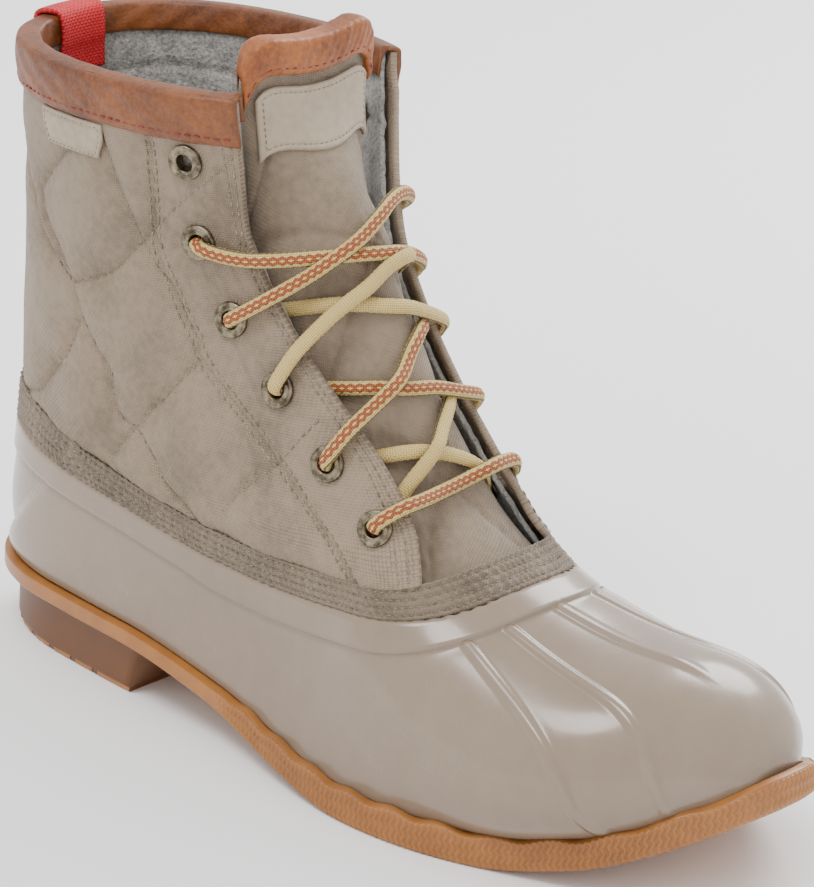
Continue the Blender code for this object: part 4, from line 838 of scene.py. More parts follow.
rows = np.concatenate([np.linspace(0, 1, 64)[:-1], 1 + RIM_ROWS / RIM_BAND])
shell_shape = laid_grid(shell_point, shell_shares(), rows)
facing_out(shell_shape, Vector((0, 0.02, 0.03)))
finished("rubber_shell", shell_shape, SHELL, ["shell"], solid=SHELL_WALL)

# %% [markdown]
# ## Gum sole
# The CAD outsole keeps its tread, and gets a smooth skin over the faces that show. The skin is one ring:
# a grid whose columns follow the sole's outline and whose rows follow the profile of its edge, with the
# wavy lip that holds the shell. Round the forefoot the side is moulded in zigzag ribs.

# %% Sole's edge
LIP_FROM, LIP_HEIGHT, LIP_WAVES = 0.40, 0.0011, 11.0
HEEL_INSET, HEEL_BREAST, BREAST_SLOPE = 0.0042, 0.262, 0.020
HEEL_GROUND = 0.0003  # the heel skin's lower edge over the floor
HEEL_STEPS = 40  # columns along each side of the heel block


def rim(t, inset):
    """Station, x and y on the sole's outline: t 0 at the heel, 0.5 at the toe, 1 at the heel again."""
    s = 0.5 * (1 - np.cos(2 * math.pi * t))
    moved = 0.5 + (s - 0.5) * (1 - 2 * inset / SOLE_LENGTH)
    middle, half = outline(moved, inset)
    side = np.where(t < 0.5, -1.0, 1.0)
    return s, middle + side * half, SOLE_LENGTH * (0.5 - moved)


def lip(s):
    """Height of the wavy lip over the seat at station s."""
    ramp = np.clip((s - LIP_FROM) / 0.05, 0, 1)
    wave = np.cos(2 * math.pi * LIP_WAVES * (s - LIP_FROM) / (1 - LIP_FROM))
    return 0.0002 + LIP_HEIGHT * ramp * (0.75 + 0.55 * wave)


# Profile of the edge from the top to the underside: how far in, share of the lip's height, share of the
# side's height
EDGE_PROFILE = np.array([
    (0.0031, 0.0, 1.0), (0.0031, 0.75, 1.0), (0.0026, 1.0, 1.0), (0.0012, 1.05, 1.0), (0.0003, 0.9, 1.0),
    (-0.0002, 0.4, 1.0), (-0.0003, 0.0, 0.85), (-0.0003, 0.0, 0.5), (-0.0003, 0.0, 0.2), (0.0002, 0.0, 0.06),
    (0.0012, 0.0, -0.01), (0.0030, 0.0, -0.015),
])


def sole_point(t, row):
    """Point of the sole's skin: row counts along the profile of the edge."""
    inset = np.interp(row, np.arange(len(EDGE_PROFILE)), EDGE_PROFILE[:, 0])
    share = np.interp(row, np.arange(len(EDGE_PROFILE)), EDGE_PROFILE[:, 1])
    side = np.interp(row, np.arange(len(EDGE_PROFILE)), EDGE_PROFILE[:, 2])
    s, x, y = rim(t, inset)
    top, bottom = seat(s), underside(s)
    return np.stack([x, y, bottom + (top - bottom) * side + lip(s) * share], -1)


around = np.linspace(0, 1, 420)
skin = laid_grid(sole_point, around, np.linspace(0, len(EDGE_PROFILE) - 1, 34))
facing_out(skin, Vector((0, 0, 0.012)))
finished("sole_skin", skin, GUM, solid=0.0002)

# %% Zigzag ribs
# Pitch and depth of the ribs
RIB_PITCH, RIB_DEPTH = 0.0019, 0.00065
dense = np.linspace(0, 1, 4000)
_, edge_x, edge_y = rim(dense, 0.0)
ARC = np.concatenate([[0], np.cumsum(np.hypot(np.diff(edge_x), np.diff(edge_y)))])


def ribbed_point(t, row):
    """Side wall with ribs that zigzag on their way down."""
    arc = np.interp(t, dense, ARC)
    zigzag = np.abs(((row * 2.6) % 1.0) - 0.5) * 1.1
    crest = 0.5 + 0.5 * np.cos(2 * math.pi * (arc / RIB_PITCH + zigzag))
    s = 0.5 * (1 - np.cos(2 * math.pi * t))
    ends = smooth((s - LIP_FROM + 0.01) / 0.05) * smooth(row / 0.08) * smooth((1 - row) / 0.08)
    out = 0.0002 + RIB_DEPTH * crest**0.8 * ends
    s, x, y = rim(t, -out)
    top, bottom = seat(s) + lip(s) * 0.95, underside(s) + 0.0004
    return np.stack([x, y, top + (bottom - top) * row], -1)


first = math.acos(1 - 2 * LIP_FROM) / (2 * math.pi)
count = int(np.interp(1 - first, dense, ARC) / RIB_PITCH * 6)
arcs = np.linspace(np.interp(first, dense, ARC), np.interp(1 - first, dense, ARC), count)
ribbed = laid_grid(ribbed_point, np.interp(arcs, ARC, dense), np.linspace(0, 1, 19))
facing_out(ribbed, Vector((0, -0.04, 0.012)))
finished("ribbed_side", ribbed, GUM, solid=0.0003)

# %% Heel block
heel_top = float(underside(0.10)) + 0.0016
turn = np.sin(np.linspace(0, math.pi / 2, HEEL_STEPS))
heel_share = np.concatenate([1 - turn, 1 - turn[::-1], [1.0]])
heel_side = np.concatenate([-np.ones(HEEL_STEPS), np.ones(HEEL_STEPS), [-1.0]])


def heel_point(t, row):
    """Side of the heel block: t counts round it, from the outer front corner and back to it."""
    z = HEEL_GROUND + (heel_top - HEEL_GROUND) * row
    inset = HEEL_INSET - 0.0003 + 0.0007 * smooth((0.12 - row) / 0.12)
    k = np.rint(t).astype(int)
    front = HEEL_BREAST + BREAST_SLOPE * row + 0.0006
    s = np.maximum(front * heel_share[k], inset / SOLE_LENGTH + 1e-4)
    middle, half = outline(s, inset)
    return np.stack([middle + heel_side[k] * half, SOLE_LENGTH * (0.5 - s), z], -1)


heel = laid_grid(heel_point, np.arange(2.0 * HEEL_STEPS + 1), np.linspace(0, 1, 9))
facing_out(heel, Vector((0, 0.10, 0.008)))
# The heel block's darker gum is painted shade under the sole's overhang
finished("heel_skin", heel, SHADED_HEEL_GUM, solid=0.0002)

# %% [markdown]
# ## Quilted shaft
# The shaft is nylon over padding, stitched down along a few long seams, so it swells between them. The
# swelling is worked out from each point's distance to the nearest seam: nothing at the thread, most of it
# a centimetre away. The eyestay is a second layer along the throat, and the eyelets press pits into it.

# %% Shaft lines
def collar_line(side):
    """The collar from a throat's corner round to the back, and that corner's height."""
    a = np.linspace(0.0, 1.0, 900)
    points = upper(1.0, a)
    first = int(np.argmax(station(points) < steady(THROAT, 1 if side < 0 else 2, 1.0)))
    return Line(np.ones(len(a) - first), a[first:]), float(points[first, 2])


COLLARS = {side: collar_line(side) for side in (-1, 1)}
band_stations = station(upper(BAND_EDGE.u, BAND_EDGE.a))
THROAT_SHARE = float(BAND_EDGE.share[int(np.argmax(band_stations < THROAT[0][1]))])


def throat_edge(w, side):
    """u and |a| on the throat's edge, w from the band (0) to the collar (1)."""
    collar, corner_z = COLLARS[side]
    u0, a0 = BAND_EDGE.at(THROAT_SHARE)
    low = float(upper(u0, a0)[2])
    w = np.asarray(w, float)
    u, a = from_side(steady(THROAT, 1 if side < 0 else 2, w), low + w * (corner_z - low))
    u1, a1 = collar.at(0.0)
    start, end = np.clip(1 - w / 0.08, 0, 1), np.clip((w - 0.92) / 0.08, 0, 1)
    u = u * (1 - start - end) + start * u0 + end * u1
    return u, a * (1 - start - end) + start * a0 + end * a1


SHAFT_BACK_FROM, SHAFT_BACK_RAMP = 0.74, 0.18  # q from which columns follow the back's fan


def shaft_path(q, w, side):
    """u and |a| on the shaft: q from the throat's edge (0) to the back (1), w from the band up."""
    collar = COLLARS[side][0]
    u0, a0 = BAND_EDGE.at(THROAT_SHARE + (1 - THROAT_SHARE) * q)
    u1, a1 = collar.at(q)
    ue, ae = throat_edge(w, side)
    uf0, af0 = BAND_EDGE.at(THROAT_SHARE)
    uf1, af1 = collar.at(0.0)
    pull = (1 - q) ** 3
    u = u0 + (u1 - u0) * w + pull * (ue - (uf0 + (uf1 - uf0) * w))
    a = a0 + (a1 - a0) * w + pull * (ae - (af0 + (af1 - af0) * w))
    # Along the sides a column is straight in side view, round the back it follows the fan
    low, high = upper(u0, a0), upper(u1, a1)
    front_low, front_high = upper(uf0, af0), upper(uf1, af1)
    bow = upper(ue, ae) - (front_low + (front_high - front_low) * w[:, None])
    line = low + (high - low) * w[:, None] + bow * pull[:, None]
    side_u, side_a = from_side(station(line), line[:, 2])
    back = smooth((q - SHAFT_BACK_FROM) / SHAFT_BACK_RAMP)
    u, a = side_u + (u - side_u) * back, side_a + (a - side_a) * back
    return np.clip(u, 0, 1), np.clip(a, 0, 1)


def both_sides(t, w):
    """u and signed a: t runs from the outer throat's edge (-1) over the back (0) to the inner edge (1)."""
    u, a = np.empty(len(t)), np.empty(len(t))
    for side in (-1, 1):
        mask = t < 0 if side < 0 else t >= 0
        u[mask], a[mask] = shaft_path(1 - np.abs(t[mask]), w[mask], side)
        a[mask] *= side
    return u, a


print("throat starts at", round(THROAT_SHARE, 3), "of the band's length from its front")

# %% Seams of the quilting
# Each seam as u and |a| along the shaft
SEAMS = (
    ((0.968, 0.615), (0.936, 0.599), (0.896, 0.559), (0.838, 0.487), (0.764, 0.431)),
    ((0.942, 0.371), (0.898, 0.543), (0.880, 0.611), (0.884, 0.671), (0.960, 0.84)),
    ((0.884, 0.671), (0.860, 0.651), (0.804, 0.599), (0.730, 0.575), (0.676, 0.603), (0.626, 0.611)),
    ((0.748, 0.447), (0.738, 0.527), (0.728, 0.619)),
    ((0.602, 0.327), (0.604, 0.431), (0.620, 0.563)),
    ((0.860, 0.651), (0.838, 0.675), (0.826, 0.735), (0.850, 0.90)),
    ((0.964, 0.655), (0.940, 0.759), (0.886, 0.671)),
)
STAY_SEAM = ((0.974, 0.527), (0.892, 0.527), (0.774, 0.439), (0.672, 0.443), (0.604, 0.439), (0.516, 0.423),
             (0.440, 0.411))


def drawn(rows, side, count=60):
    """u and signed a along a seam, evenly spaced."""
    k = np.arange(len(rows))
    fine = np.linspace(0, len(rows) - 1, 200)
    u = np.interp(fine, k, [r[0] for r in rows])
    a = np.interp(fine, k, [r[1] for r in rows])
    line = Line(u, a)
    u, a = line.at(np.linspace(0, 1, count))
    return u, a * side


def line_distance(points, line):
    """Least distance from each point to a line of points."""
    best = np.full(len(points), 1.0)
    for k in range(len(line) - 1):
        start, along = line[k], line[k + 1] - line[k]
        share = np.clip(((points - start) @ along) / (along @ along), 0, 1)
        best = np.minimum(best, np.linalg.norm(points - start - share[:, None] * along, axis=1))
    return best


SEAM_LINES = {side: [upper(*drawn(rows, side, 24)) for rows in SEAMS] for side in (-1, 1)}
STAY_LINES = {side: upper(*drawn(STAY_SEAM, side, 40)) for side in (-1, 1)}
EDGE_LINES = {}
for side in (-1, 1):
    edge_u, edge_a = throat_edge(np.linspace(0, 1, 50), side)
    EDGE_LINES[side] = upper(edge_u, edge_a * side)

# Eyelets from the top: station, height (share of COLLAR_HEIGHT)
EYELETS = ((0.330, 0.922), (0.341, 0.795), (0.380, 0.683), (0.444, 0.597), (0.514, 0.509), (0.581, 0.436))


def eyelet_place(k, side):
    """u and a of an eyelet; an inner one keeps its outer twin's distance from the throat's edge."""
    s, z = EYELETS[k][0], EYELETS[k][1] * COLLAR_HEIGHT
    low = float(upper(*BAND_EDGE.at(THROAT_SHARE))[2])
    w = (z - low) / (COLLARS[side][1] - low)
    if side > 0:
        s = s + float(steady(THROAT, 2, w) - steady(THROAT, 1, w))
    u, a = from_side(s, z)
    return float(u), side * float(a)


EYELET_PLACES = [eyelet_place(k, side) for side in (-1, 1) for k in range(len(EYELETS))]
EYELET_POINTS = np.array([upper(*place) for place in EYELET_PLACES])
print(len(SEAMS), "quilting seams a side,", len(EYELET_POINTS), "eyelets")

# %% Height of the quilting
PUFF, SEAM_DEPTH, STAY_STEP = 0.0021, 0.0008, 0.0006
PUFF_REACH, SEAM_WIDTH = 0.0065, 0.0011  # how far from a seam the padding swells, and the seam's furrow
EYELET_REST, EYELET_HOLE = 0.009, 0.0029  # radius that an eyelet presses flat, radius of the hole's pit
# Soft troughs that wear has left: start and end as u and |a|, depth, width
TROUGHS = (
    ((0.66, 0.80), (0.74, 0.60), 0.0012, 0.006), ((0.72, 0.93), (0.79, 0.72), 0.0014, 0.007),
    ((0.60, 0.62), (0.66, 0.47), 0.0009, 0.005), ((0.80, 0.93), (0.90, 0.80), 0.0008, 0.008),
    ((0.52, 0.47), (0.56, 0.40), 0.0007, 0.004),
)
TROUGH_LINES = {
    side: [upper(*drawn((start, end), side, 8)) for start, end, _, _ in TROUGHS] for side in (-1, 1)
}


def quilt_height(base, a, u):
    """How far the nylon stands over the form at points of the form."""
    height = np.zeros(len(base))
    for side in (-1, 1):
        mask = a < 0 if side < 0 else a >= 0
        p = base[mask]
        to_edge = line_distance(p, EDGE_LINES[side])
        to_stay = line_distance(p, STAY_LINES[side])
        stay_width = np.interp(p[:, 2], STAY_LINES[side][::-1, 2],
                               [line_distance(q[None], EDGE_LINES[side])[0] for q in STAY_LINES[side][::-1]])
        in_stay = to_edge < stay_width
        nearest = to_stay
        for line in SEAM_LINES[side]:
            nearest = np.minimum(nearest, line_distance(p, line) + np.where(in_stay, 0.002, 0.0))
        band = line_distance(p, upper(BAND_EDGE.u[::12], BAND_EDGE.a[::12] * side))
        nearest = np.minimum(nearest, band + 0.001)
        furrow = np.exp(-((nearest / SEAM_WIDTH) ** 2))
        swell = PUFF * (1 - np.exp(-nearest / PUFF_REACH)) - SEAM_DEPTH * furrow
        stay_seam = 0.0006 * np.exp(-((to_stay / 0.001) ** 2))
        flat = STAY_STEP + 0.0004 * (1 - np.exp(-to_stay / 0.003)) - stay_seam
        flat += 0.0003 * np.cos((to_edge - 0.0045) / 0.0030 * math.pi) * (to_edge < 0.0075)
        h = np.where(in_stay, flat, swell)
        pucker = np.sin(p[:, 1] * 2100 + 2.2 * np.sin(p[:, 2] * 420))
        pucker = pucker * np.sin(p[:, 2] * 1500 + p[:, 1] * 700)
        h += pucker * 0.00028 * np.exp(-nearest / 0.005)
        h += 0.0003 * np.sin(p[:, 1] * 260 + 3 * np.sin(p[:, 2] * 90)) * np.exp(-nearest / 0.02)
        for line, (_, _, depth, width) in zip(TROUGH_LINES[side], TROUGHS):
            h -= depth * np.exp(-((line_distance(p, line) / width) ** 2)) * ~in_stay
        height[mask] = h
    # The collar's binding holds the top down, the back seam stays low
    height *= 1 - 0.8 * smooth((u - 0.965) / 0.02)
    from_back = np.abs(base[:, 0] - upper(u, 1.0)[:, 0]) + (1 - smooth((np.abs(a) - 0.9) / 0.08)) * 0.1
    height -= 0.0010 * np.exp(-((from_back / 0.0012) ** 2))
    for eyelet in EYELET_POINTS:
        away = np.linalg.norm(base - eyelet, axis=1)
        pressed = height + (STAY_STEP - height) * smooth((EYELET_REST - away) / 0.003)
        height = np.where(away < EYELET_REST, pressed, height)
        height -= 0.0038 * smooth((EYELET_HOLE - away) / 0.0009)
    return height


def on_shaft(u, a, lift=0.0):
    """Point on the quilted nylon, lifted along the form's normal."""
    base = upper(u, a)
    return base + surface_normals(u, a, EVEN_REACH) * (quilt_height(base, a, u) + lift)[:, None]


def shaft_point(t, w):
    return on_shaft(*both_sides(t, w))


shaft_shape = laid_grid(shaft_point, np.linspace(-1, 1, 301), np.linspace(0.0, 1.0, 121))
facing_out(shaft_shape, Vector((0, 0.06, 0.10)))
shaft = finished("quilted_shaft", shaft_shape, NYLON, ["shaft"], solid=0.0020)

# %% [markdown]
# ## Fleece lining and gathered band
# Inside, the shaft is lined with grey fleece, a second sheet just under the nylon. At its foot the nylon is
# gathered and sewn to the shell with several rows of stitches, which makes a rumpled band all round.

# %% Lining
LINING_DEPTH = 0.0028  # under the form, so inside the nylon's padding


def lining_point(t, w):
    u, a = both_sides(t, w)
    p = upper(u, a)
    nap = 0.00025 * np.sin(p[:, 1] * 900 + 4 * np.sin(p[:, 2] * 500)) * np.sin(p[:, 2] * 1100)
    seam = 0.0009 * np.exp(-(((w - 0.845) / 0.006) ** 2))
    return p - surface_normals(u, a, EVEN_REACH) * (LINING_DEPTH + nap - seam)[:, None]


lining = laid_grid(lining_point, np.linspace(-0.985, 0.985, 161), np.linspace(-0.03, 0.985, 81))
facing_out(lining, Vector((0, 0.06, 0.10)))
finished("fleece_lining", lining, FLEECE, solid=0.0014)

# %% Gathered band
STITCH_ROWS = (0.14, 0.40, 0.66, 0.92)


def band_place(t, v):
    """u and signed a on the band: v from the shell's edge (0) to the quilted nylon (1)."""
    share = np.abs(t)
    u0, a0 = TOP_EDGE.at(share)
    u1, a1 = BAND_EDGE.at(share)
    side = np.where(t < 0, -1.0, 1.0)
    return u0 + (u1 - u0) * v, (a0 + (a1 - a0) * v) * side


def band_height(t, v):
    """Gathers across the band, pressed down along its rows of stitches."""
    arc = t * TOP_EDGE.length
    gather = np.sin(arc * 2350 + 2.5 * np.sin(arc * 310) + 1.3 * np.sin(v * 9))
    sewn = sum(np.exp(-(((v - row) / 0.055) ** 2)) for row in STITCH_ROWS)
    rumpled = 0.0009 + 0.00032 * gather * (1 - 0.4 * sewn) - 0.00055 * sewn
    return rumpled - 0.0006 * (v > 1.02) - 0.0012 * (v < 0)


def band_point(t, v):
    u, a = band_place(t, v)
    return upper(u, a) + surface_normals(u, a, EVEN_REACH) * band_height(t, v)[:, None]


# The band is the shaft's own nylon; the darker tones of this copy are painted shade over the whole band
SHADED_BAND_NYLON = cloth_paint("gathered_nylon_painted_shade", (0.075, 0.052, 0.032), (0.235, 0.175, 0.118),
                         NYLON_THREADS, 0.0002)
band_rows = np.concatenate([[-0.06], np.linspace(0.0, 1.02, 26), [1.06]])
band_shape = laid_grid(band_point, np.linspace(-1, 1, 901), band_rows)
facing_out(band_shape, Vector((0, 0.03, 0.05)))
finished("gathered_band", band_shape, SHADED_BAND_NYLON, solid=0.0012)

# %% [markdown]
# ## Padded tongue
# The tongue lies under the stays and stands up behind the laces, leaning back at its top. It is a pad: one
# closed grid runs over its face, round its edge and down its back, so the edge is rounded like a sewn
# cushion, and diamond seams hold the filling down.

# %% Tongue's form
TONGUE_LOW, TONGUE_ABOVE = 0.362, 0.011
TONGUE_DEPTH, TONGUE_FOOT_DEPTH = 0.0078, 0.0046
TONGUE_TOP_Y, TONGUE_CROWN, TONGUE_CORNER = 0.0385, 0.0030, 0.060
# Half width of the tongue: u, |a| on the outer and on the inner side
TONGUE_WIDE = (
    (0.36, 0.30, 0.30), (0.50, 0.33, 0.31), (0.65, 0.37, 0.33), (0.80, 0.37, 0.32), (1.00, 0.33, 0.28),
)


def tongue_face(c, r):
    """Point of the tongue's face: c across (-1 outer, 1 inner), r from its lower end to its top."""
    c, r = np.broadcast_arrays(np.asarray(c, float), np.asarray(r, float))
    rise = spline(SECTIONS, 4, 1.0) - spline(SECTIONS, 4, 0.97)
    top = 1 + TONGUE_ABOVE / COLLAR_HEIGHT / (rise / 0.03) - TONGUE_CORNER * np.abs(c) ** 5
    u = TONGUE_LOW + (top - TONGUE_LOW) * r
    wide = np.clip(u, 0.36, 1)
    a = c * np.where(c < 0, steady(TONGUE_WIDE, 1, wide), steady(TONGUE_WIDE, 2, wide))
    n = surface_normals(np.minimum(u, 0.995), a)
    beyond = (upper(1.0, a) - upper(0.97, a)) / 0.03
    point = upper(np.minimum(u, 1), a) + beyond * np.maximum(u - 1, 0)[..., None]
    depth = TONGUE_FOOT_DEPTH + (TONGUE_DEPTH - TONGUE_FOOT_DEPTH) * smooth((u - TONGUE_LOW) / 0.09)
    point = point - n * depth[..., None]
    flat = smooth((u - 0.74) / 0.28)
    lean = TONGUE_TOP_Y - TONGUE_CROWN * (1 - c * c) - point[..., 1]
    point[..., 1] += (lean + np.hypot(lean, 0.005)) / 2 * flat
    return point


def tongue_place(c, r):
    """Point and normal of the tongue's face."""
    c, r = np.broadcast_arrays(np.asarray(c, float), np.asarray(r, float))
    step = 2e-3
    across = tongue_face(c + step, r) - tongue_face(c - step, r)
    n = np.cross(across, tongue_face(c, r + step) - tongue_face(c, r - step))
    return tongue_face(c, r), n / np.linalg.norm(n, axis=-1, keepdims=True)


TONGUE_REACH = 0.118  # about the tongue's length
DIAMOND = 0.0235  # half a diamond of its quilting, across
HALF_WIDE = 0.0215  # about the tongue's half width


def tongue_quilt(c, r):
    """Height of the padding: full inside a diamond, nothing at its seams."""
    x, y = c * HALF_WIDE, r * TONGUE_REACH
    first = np.abs(((x * 1.05 + y + 0.008) / (2 * DIAMOND)) % 1.0 - 0.5) * 2 * DIAMOND
    second = np.abs(((y - x * 1.05 + 0.004) / (2 * DIAMOND)) % 1.0 - 0.5) * 2 * DIAMOND
    nearest = np.minimum(first, second)
    pucker = 0.0002 * np.sin(x * 2300 + 2 * np.sin(y * 500)) * np.exp(-nearest / 0.004)
    quilt = 0.0013 * (1 - np.exp(-nearest / 0.0045)) - 0.0007 * np.exp(-((nearest / 0.0010) ** 2)) + pucker
    return quilt * smooth((0.93 - r) / 0.05) * smooth(r / 0.05)


def tongue_point(t, r):
    """Closed round the edge: t 0..1 over the face, 1..2 back along the lining."""
    front = t < 1
    c = np.where(front, 2 * t - 1, 3 - 2 * t)
    edge = (1 - np.clip(np.abs(c), 0, 1) ** 16) ** 0.5 * (1 - np.clip(np.abs(2 * r - 1), 0, 1) ** 60) ** 0.5
    point, n = tongue_place(c, r)
    middle = -TONGUE_WALL / 2
    offset = middle + np.where(front, 1.0, -1.0) * (TONGUE_WALL / 2) * edge
    offset = offset + np.where(front, tongue_quilt(c, r) * edge, 0.0)
    return point + n * offset[:, None]


turn_t = np.concatenate([np.linspace(0, 1, 81), np.linspace(1, 2, 41)[1:]])
tongue_rows = np.interp(np.linspace(0, 1, 131), [0, 0.03, 0.97, 1], [0, 0.012, 0.988, 1])
tongue_shape = laid_grid(tongue_point, turn_t, tongue_rows)
tongue = finished("padded_tongue", tongue_shape, TONGUE_NYLON, ["tongue"], fill=True)

# %% [markdown]
# ## Leather bindings
# A binding is a strip of leather folded over a raw edge. Its section is drawn once, as a flat U, and
# swept along the edge: round the collar and over the top of the tongue.

# %% Binding section
BINDING_WALL, BINDING_OUTSIDE, BINDING_INSIDE, BINDING_CLEAR = 0.0014, 0.0125, 0.0070, 0.00035
TONGUE_BINDING_OUTSIDE, TONGUE_BINDING_INSIDE = 0.0085, 0.0060
TONGUE_BINDING_CLEAR = 2.2 * BINDING_CLEAR


def rounded(corners, passes=3):
    """Cuts a closed polygon's corners, each pass rounder."""
    points = np.array(corners, float)
    for _ in range(passes):
        after = np.roll(points, -1, axis=0)
        points = np.stack([points * 0.75 + after * 0.25, points * 0.25 + after * 0.75], 1).reshape(-1, 2)
    return points


def binding_section(wall, outside, inside, clear):
    """Depth under the edge and height over the face, round the folded strip."""
    o, w = clear, BINDING_WALL
    back, over = -(wall + o), o + w
    return rounded([
        (outside, over * 0.8), (outside * 0.8, over * 1.12), (outside / 2, over * 1.2),
        (outside * 0.15, over * 1.1), (-0.3 * over, over * 0.95), (-0.9 * over, o + 0.3 * w),
        (-over, -wall / 2), (-0.8 * over, back - 0.6 * w),
        (0, back - w), (inside * 0.6, back - w * 1.1), (inside, back - w * 0.8), (inside, back), (-o, back),
        (-o, o), (outside / 2, o), (outside, o * 0.6),
    ])


def swept(section_points, at, columns, name, paint, replaced):
    """Binding along an edge; at(column, depth) gives points, normals and the way up."""
    closed = np.concatenate([section_points, section_points[:1]])

    def place(t, v):
        k = np.rint(v).astype(int)
        depth, height = closed[k, 0], closed[k, 1]
        point, n, up = at(t, np.maximum(depth, 0))
        ripple = 0.00012 * np.sin(t * 61 + depth * 900) + 0.0001 * np.sin(t * 23 + 1)
        return point + n * (height + ripple * np.sign(height))[:, None] + up * np.maximum(-depth, 0)[:, None]

    shape = laid_grid(place, columns, np.arange(float(len(closed))))
    return finished(name, shape, paint, replaced, fill=True)


def collar_at(t, depth):
    """Face of the shaft at t round the collar, depth under its edge."""
    side = np.where(t < 0, -1.0, 1.0)
    a = np.where(t < 0, COLLARS[-1][0].at(1 - np.abs(t))[1], COLLARS[1][0].at(1 - np.abs(t))[1]) * side
    reach = np.linalg.norm(upper(1.0, a) - upper(0.93, a), axis=-1) / 0.07
    u = 1 - depth / reach
    n = surface_normals(np.minimum(u, 0.998), a)
    up = upper(1.0, a) - upper(0.98, a)
    return upper(u, a), n, up / np.linalg.norm(up, axis=-1, keepdims=True)


def tongue_at(c, depth):
    """Face of the tongue at c, depth under its top edge."""
    rise = tongue_place(c, np.ones(len(c)))[0] - tongue_place(c, np.full(len(c), 0.9))[0]
    length = np.linalg.norm(rise, axis=-1)
    point, n = tongue_place(c, 1 - depth / (length / 0.1))
    return point, n, rise / length[:, None]


collar_section = binding_section(SHAFT_WALL, BINDING_OUTSIDE, BINDING_INSIDE, BINDING_CLEAR)
swept(collar_section, collar_at, np.linspace(-1, 1, 181), "collar_binding_leather", LEATHER,
      ["collar_binding"])
tongue_section = binding_section(TONGUE_WALL, TONGUE_BINDING_OUTSIDE, TONGUE_BINDING_INSIDE,
                                 TONGUE_BINDING_CLEAR)
swept(tongue_section, tongue_at, np.linspace(-0.97, 0.97, 81), "tongue_binding_leather", TONGUE_LEATHER,
      ["tongue_binding"])

# %% [markdown]
# ## Webbing and labels
# A loop of red webbing runs over the collar at the back and down the seam. The two labels are plain woven
# plates with a sewn border.

# %% Red webbing
STRAP_WIDTH, STRAP_WALL, STRAP_CLEAR, STRAP_INSIDE = 0.020, 0.0014, 0.0006, 0.016
STRAP_STEPS = 150  # points along the strap
BACK_U = np.linspace(1.0, U_HEEL + 0.002, 400)
BACK_LINE = upper(BACK_U, 1.0)
BACK_RUN = run_along(BACK_LINE)
BACK_UP = (BACK_LINE[0] - BACK_LINE[20]) / np.linalg.norm(BACK_LINE[0] - BACK_LINE[20])


def back_at(x, depth):
    """Outer face near the back seam: x across from the seam, depth down from the collar."""
    u = np.interp(depth, BACK_RUN, BACK_U)
    half = section(u)[5]
    turned = np.arccos(np.minimum(np.abs(x) / half, 1) ** (ROUND_BASE / 2)) / (math.pi / 2)
    a = A_WIDEST + (1 - A_WIDEST) * turned
    a = np.clip(a, 0, 1) * np.where(x < 0, -1.0, 1.0)
    return upper(u, a), surface_normals(np.minimum(u, 0.998), a)


def strap_path():
    """Depth under the collar and height over the nylon, from inside over the binding and down the seam."""
    o, w, c = BINDING_CLEAR, BINDING_WALL, STRAP_CLEAR + STRAP_WALL
    back = -(SHAFT_WALL + o)
    end = float(np.interp(BAND_EDGE.u[-1], BACK_U[::-1], BACK_RUN[::-1]))
    corners = [
        (STRAP_INSIDE, back - 0.0004 - c), (BINDING_INSIDE + 0.002, back - 0.0006 - c),
        (BINDING_INSIDE, back - w - c), (0, back - w - c), (-0.85 * (o + w + c), back - 0.6 * w - 0.6 * c),
        (-(o + w) - c, -SHAFT_WALL / 2), (-0.85 * (o + w + c), o + 0.6 * w + 0.6 * c), (0, o + w + c),
        (BINDING_OUTSIDE, o + w * 1.2 + c), (BINDING_OUTSIDE + 0.0035, c + 0.0012), (0.030, c + 0.0010),
        (end - 0.009, c + 0.0008), (end - 0.0072, c + 0.0022), (end - 0.003, c + 0.0026),
        (end - 0.0008, c + 0.0018),
    ]
    points = np.array(corners)
    for _ in range(3):
        middle = np.stack([points[:-1] * 0.75 + points[1:] * 0.25, points[:-1] * 0.25 + points[1:] * 0.75], 1)
        points = np.concatenate([points[:1], middle.reshape(-1, 2), points[-1:]])
    run = run_along(points)
    at = np.linspace(0, run[-1], STRAP_STEPS)
    return np.stack([np.interp(at, run, points[:, 0]), np.interp(at, run, points[:, 1])], 1)


STRAP_PATH = strap_path()


def strap_point(x, k):
    k = np.rint(k).astype(int)
    depth, height = STRAP_PATH[k, 0], STRAP_PATH[k, 1]
    point, n = back_at(x, np.maximum(depth, 0))
    selvage = -0.0003 * smooth((np.abs(x) / STRAP_WIDTH * 2 - 0.86) / 0.14)
    rib = 0.00008 * np.sin(x * 5200)
    lifted = point + n * (height + (selvage + rib) * np.sign(height))[:, None]
    return lifted + BACK_UP * np.maximum(-depth, 0)[:, None]


strap_across = np.linspace(-STRAP_WIDTH / 2, STRAP_WIDTH / 2, 41)
strap = laid_grid(strap_point, strap_across, np.arange(float(STRAP_STEPS)))
bmesh.ops.recalc_face_normals(strap, faces=strap.faces)
top_face = max(strap.faces, key=lambda f: f.calc_center_median().z)
if top_face.normal.z < 0:
    bmesh.ops.reverse_faces(strap, faces=strap.faces)
finished("red_strap", strap, WEBBING, ["pull_strap"], solid=STRAP_WALL)

# %% Labels
LABEL_CROWN = 0.0008


def label_place(at, width, height, top, lift, taper=0.0):
    """Crowned plate with a rounded edge: x and y run 0..1 over it."""
    def place(x, y):
        narrow = 1 - taper * smooth((y - 0.35) / 0.65)
        inside = np.minimum(np.minimum(x, 1 - x) * width, np.minimum(y, 1 - y) * height)
        sewn_border = 0.0003 * np.exp(-(((inside - 0.0017) / 0.0004) ** 2))
        crown = LABEL_CROWN * np.clip(inside / LABEL_CROWN, 0, 1) ** 0.5 - sewn_border
        point, n, _ = at((x - 0.5) * width * narrow, top + y * height)
        return point + n * (lift + crown)[:, None]
    return place


